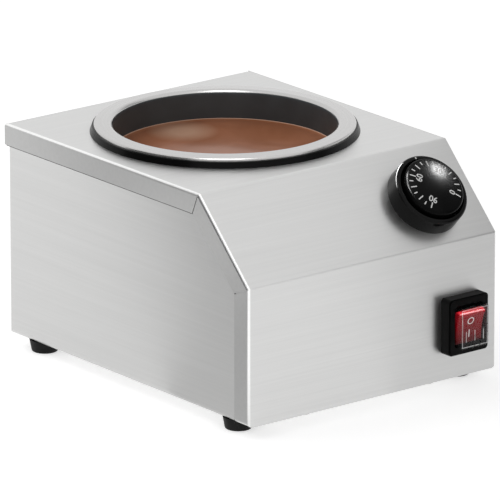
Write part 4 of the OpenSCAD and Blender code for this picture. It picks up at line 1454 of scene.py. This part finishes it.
    def signs(self, paddle: Piece, white: Finish) -> None:
        """Print a ring on the upper half of the paddle and a bar on the lower half.

        Args:
            paddle: What the signs are printed on.
            white: Their finish.
        """
        centre = (0, self.sign_up, self.sign_out)
        ring = Bench.start("off_ring", bpy.ops.mesh.primitive_circle_add, vertices=self.ring_sides,
                           radius=self.ring_r, location=centre)
        Bench.edit(ring, Pick.EDGES, True)
        bpy.ops.mesh.extrude_edges_move()
        inner = 1 - self.stroke / self.ring_r
        Bench.widen(inner, inner, centre)
        bar = Bench.start("on_bar", bpy.ops.mesh.primitive_plane_add, size=1)
        Bench.place(bar, Matrix.Translation((0, -self.bar_down, self.bar_out))
                    @ Matrix.Diagonal((self.stroke, 2 * self.ring_r, 1, 1)))
        Bench.edit(bar, Pick.POINTS, True)
        bpy.ops.mesh.bevel(offset=self.stroke_round, segments=self.round_steps, affect="VERTICES")
        signs = Bench.join([ring, bar], "rocker_signs")
        Bench.place(signs, self.pivot)
        Bench.print_on(signs, paddle, self.print_t)
        Bench.deliver(signs, Body.ROCKER, "rocker_red", white)

    def build(self, clear: Finish, rib_highlight: Finish, red: Finish, white: Finish) -> None:
        """Build the cap in its two finishes, the red paddle and its white signs."""
        self.cap(clear, rib_highlight)
        self.signs(self.paddle(red), white)


@dataclass
class Chocolate:
    """Molten chocolate with a raised edge where it wets the pan."""

    meniscus_w: float = 3.0 * MM
    meniscus_h: float = 0.9 * MM
    meniscus_steps: int = 5
    corner_r: float = 11.0 * MM
    wave_h: float = 0.5 * MM
    wave_l: float = 45.0 * MM
    wave_start: float = 0.6
    wave_fade: float = 3.0
    rings: int = 14
    sides: int = 96
    sharp: float = 50.0

    def __post_init__(self) -> None:
        """Take the place and the size from the node."""
        low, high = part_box("chocolate_fill")
        self.centre = (low + high) / 2
        self.radius = (high.x - low.x) / 2
        self.low, self.high = low.z, high.z

    def build(self, material: Finish) -> None:
        """Model the chocolate as a disc that is inset to its rings, waved and given its depth.

        Args:
            material: Its finish.
        """
        pool = Bench.start("molten_chocolate", bpy.ops.mesh.primitive_circle_add, vertices=self.sides,
                           radius=self.radius, fill_type="NGON", location=(*self.centre.xy, self.high))
        Bench.edit(pool, Pick.FACES, True)
        steps = self.meniscus_steps
        for i in range(steps, 0, -1):
            bpy.ops.mesh.inset(thickness=self.meniscus_w / steps)
            drop = self.meniscus_h * ((i / steps) ** 2 - ((i - 1) / steps) ** 2)
            bpy.ops.transform.translate(value=(0, 0, -drop))
        for _ in range(self.rings):
            bpy.ops.mesh.inset(thickness=(self.radius - self.meniscus_w) / (self.rings + 1))
        bpy.ops.mesh.poke()
        Bench.clear()
        self.wave(pool)
        Bench.pick_edges(pool, lambda a, b: min(a.z, b.z) > self.high - TINY)
        for depth in (self.high - self.low - self.corner_r, self.corner_r):
            bpy.ops.mesh.extrude_edges_move(TRANSFORM_OT_translate={"value": (0, 0, -depth)})
        inner = 1 - self.corner_r / self.radius
        Bench.widen(inner, inner, (*self.centre.xy, self.low))
        bpy.ops.mesh.edge_face_add()
        Bench.close(pool)
        Bench.smooth(pool, self.sharp)
        Bench.deliver(pool, Body.PAN, "chocolate", material, ("chocolate_fill",))

    def wave(self, pool: Piece) -> None:
        """Press slow waves into the open surface, which fade out towards the pan.

        Args:
            pool: The disc with its rings.
        """
        level = self.high - self.meniscus_h
        for vertex in pool.data.vertices:
            offset = vertex.co - self.centre
            fade = max(0.0, 1 - offset.xy.length / (self.radius - self.meniscus_w))
            swell = (math.sin(offset.x / self.wave_l * math.tau + self.wave_start)
                     * math.cos(offset.y / self.wave_l * math.pi))
            if vertex.co.z < level + TINY:
                vertex.co.z += self.wave_h * (swell - 1) / 2 * min(1.0, self.wave_fade * fade)


@dataclass
class Gland:
    """Fluted cap nut of the cord gland."""

    bore_r: float = 4.0 * MM
    bore_sides: int = 48
    dome: float = 3.0 * MM
    dome_steps: int = 6
    flute: float = 0.5 * MM
    flutes: int = 20
    flute_sides: int = 4
    wall_tilt: float = 0.05
    sharp: float = 35.0

    def build(self, material: Finish) -> None:
        """Model the cap nut as a cylinder with sunk flutes, a rounded crown and a bore.

        Args:
            material: Its finish.
        """
        low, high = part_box("gland_cap")
        radius, height = (high.x - low.x) / 2, high.y - low.y
        nut = Bench.rod("gland_cap_nut", self.flute_sides * self.flutes, radius, 0, height)
        Bench.pick_edges(nut, lambda a, b: min(a.z, b.z) > height - TINY)
        bpy.ops.mesh.bevel(offset=self.dome, segments=self.dome_steps)
        slot = math.tau / self.flutes
        Bench.pick_faces(nut, lambda centre, normal: abs(normal.z) < self.wall_tilt
                         and math.atan2(centre.y, centre.x) % slot < slot / 2)
        bpy.ops.mesh.inset(thickness=self.flute / 2, use_boundary=True)
        bpy.ops.transform.shrink_fatten(value=-self.flute)
        reach = 2 * height
        Bench.cut(nut, Bench.rod("gland_bore", self.bore_sides, self.bore_r, -reach, reach))
        Bench.smooth(nut, self.sharp)
        centre = (low + high) / 2
        root = Matrix.Translation((centre.x, low.y, centre.z))
        Bench.place(nut, root @ Matrix.Rotation(-math.pi / 2, 4, "X"))
        Bench.deliver(nut, Body.HOUSING, "switch_plastic", material, ("gland_cap",))


STEELS = {
    "well_steel": Steel("well_steel", Grain.SPUN, (0.5, 0.5, 0.49), 0.34),
    "fastener_steel": Steel("screw_steel", Grain.ACROSS, (0.55, 0.55, 0.54), 0.28),
    "heater_metal": Steel("heater_band", Grain.LEVEL, (0.4, 0.38, 0.35), 0.45),
    "copper": Steel("copper_tube", Grain.LEVEL, (0.72, 0.4, 0.26), 0.3),
    "earth_brass": Steel("earth_brass", Grain.LEVEL, (0.7, 0.55, 0.22), 0.32),
}

PLASTICS = {
    "collar_black": Moulded("collar_black", (0.003, 0.003, 0.003), 0.25, 0.03, gloss=0.08),
    "foot_rubber": Moulded("foot_rubber", (0.006, 0.006, 0.006), 0.55, 0.3, 900, gloss=0.2),
    "dial_plastic": Moulded("dial_gloss", (0.0015, 0.0015, 0.0015), 0.2, 0.02, gloss=0.05),
    "switch_plastic": Moulded("switch_black", (0.002, 0.002, 0.002), 0.4, 0.12, gloss=0.06),
    "insulation": Moulded("felt_wool", (0.62, 0.56, 0.4), 0.95, 0.8, 700, 0.25),
    "ceramic": Moulded("ceramic_white", (0.78, 0.75, 0.68), 0.4, 0.05),
    "lead_brown": Moulded("lead_brown", (0.2, 0.09, 0.04), 0.45),
    "lead_blue": Moulded("lead_blue", (0.04, 0.1, 0.4), 0.45),
    "lead_green": Moulded("lead_green", (0.25, 0.45, 0.06), 0.45),
}

WHITE_PRINT = Moulded("white_print", (0.85, 0.85, 0.84), 0.5, 0.05)
BEZEL_SATIN = Moulded("bezel_satin", (0.002, 0.002, 0.002), 0.16, 0.03, gloss=0.12)
CLEAR_CAP = Clear("clear_cap")
# Whitish, half see-through finish for the ribs and lips: painted highlights
RIB_PAINTED_HIGHLIGHT = Clear("rib_painted_highlight", (0.95, 0.95, 0.95), 0.3, 1.25, 0.72)


@dataclass
class Wardrobe:
    """Finishes of the nodes that are shown as they are."""

    cover: Steel = Steel("cover_steel", Grain.ACROSS, (0.67, 0.67, 0.665))
    # The wrap's steel is set darker than the cover's: painted shade on the side and rear walls
    wrap: Steel = Steel("wrap_steel", Grain.LEVEL, (0.6, 0.6, 0.595))
    satin: Steel = Steel("pan_satin_steel", Grain.SPUN, (0.54, 0.535, 0.53), 0.24)

    def __post_init__(self) -> None:
        """Take the pan's axis and rim from its node."""
        low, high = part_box("lift_out_pan")
        self.centre = (low + high) / 2
        self.rim_top = high.z

    def materials(self) -> dict[str, Finish]:
        """Build the finishes.

        Returns:
            The finish of each material slot.
        """
        low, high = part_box("switch_rocker")
        return {
            "pan_steel": CoatedPan("pan_painted_dark_wall", self.satin).material(self.centre, self.rim_top),
            "rocker_red": DeepRed(bottom=low.z, top=high.z).material(),
            **{slot: steel.material(self.centre) for slot, steel in STEELS.items()},
            **{slot: plastic.material() for slot, plastic in PLASTICS.items()},
        }

    def dress(self) -> dict[str, Finish]:
        """Dress every node.

        Returns:
            The finish of each material slot.
        """
        materials = self.materials()
        cover = self.cover.material(self.centre)
        own = {"outer_cover": cover, "base_plate": cover, "body_wrap": self.wrap.material(self.centre)}
        slots = {row["node"]: row["material_slot"] for row in frame["record"]["subparts"]}
        for name, node in frame["nodes"].items():
            material = own.get(name) or materials.get(slots[name])
            if material:
                node.material_slots[0].material = material
                LOG.info("dressed %s", name)
        return materials


def main() -> None:
    """Dress the part, model its pieces one after another and set the studio round it."""
    logging.basicConfig(level=logging.INFO, format="%(message)s")
    finishes = Wardrobe().dress()
    white = WHITE_PRINT.material()
    Seams().build(finishes["foot_rubber"])
    CrossScrews().cover(finishes["fastener_steel"])
    CrossScrews().base(finishes["fastener_steel"])
    pool = Chocolate()
    pool.build(MoltenChocolate("molten_chocolate").material(pool.high))
    Dial().build(finishes["dial_plastic"], BEZEL_SATIN.material(), white)
    Switch().build(CLEAR_CAP.material(), RIB_PAINTED_HIGHLIGHT.material(), finishes["rocker_red"], white)
    Gland().build(finishes["switch_plastic"])
    Studio().build()


if __name__ == "__main__":
    main()
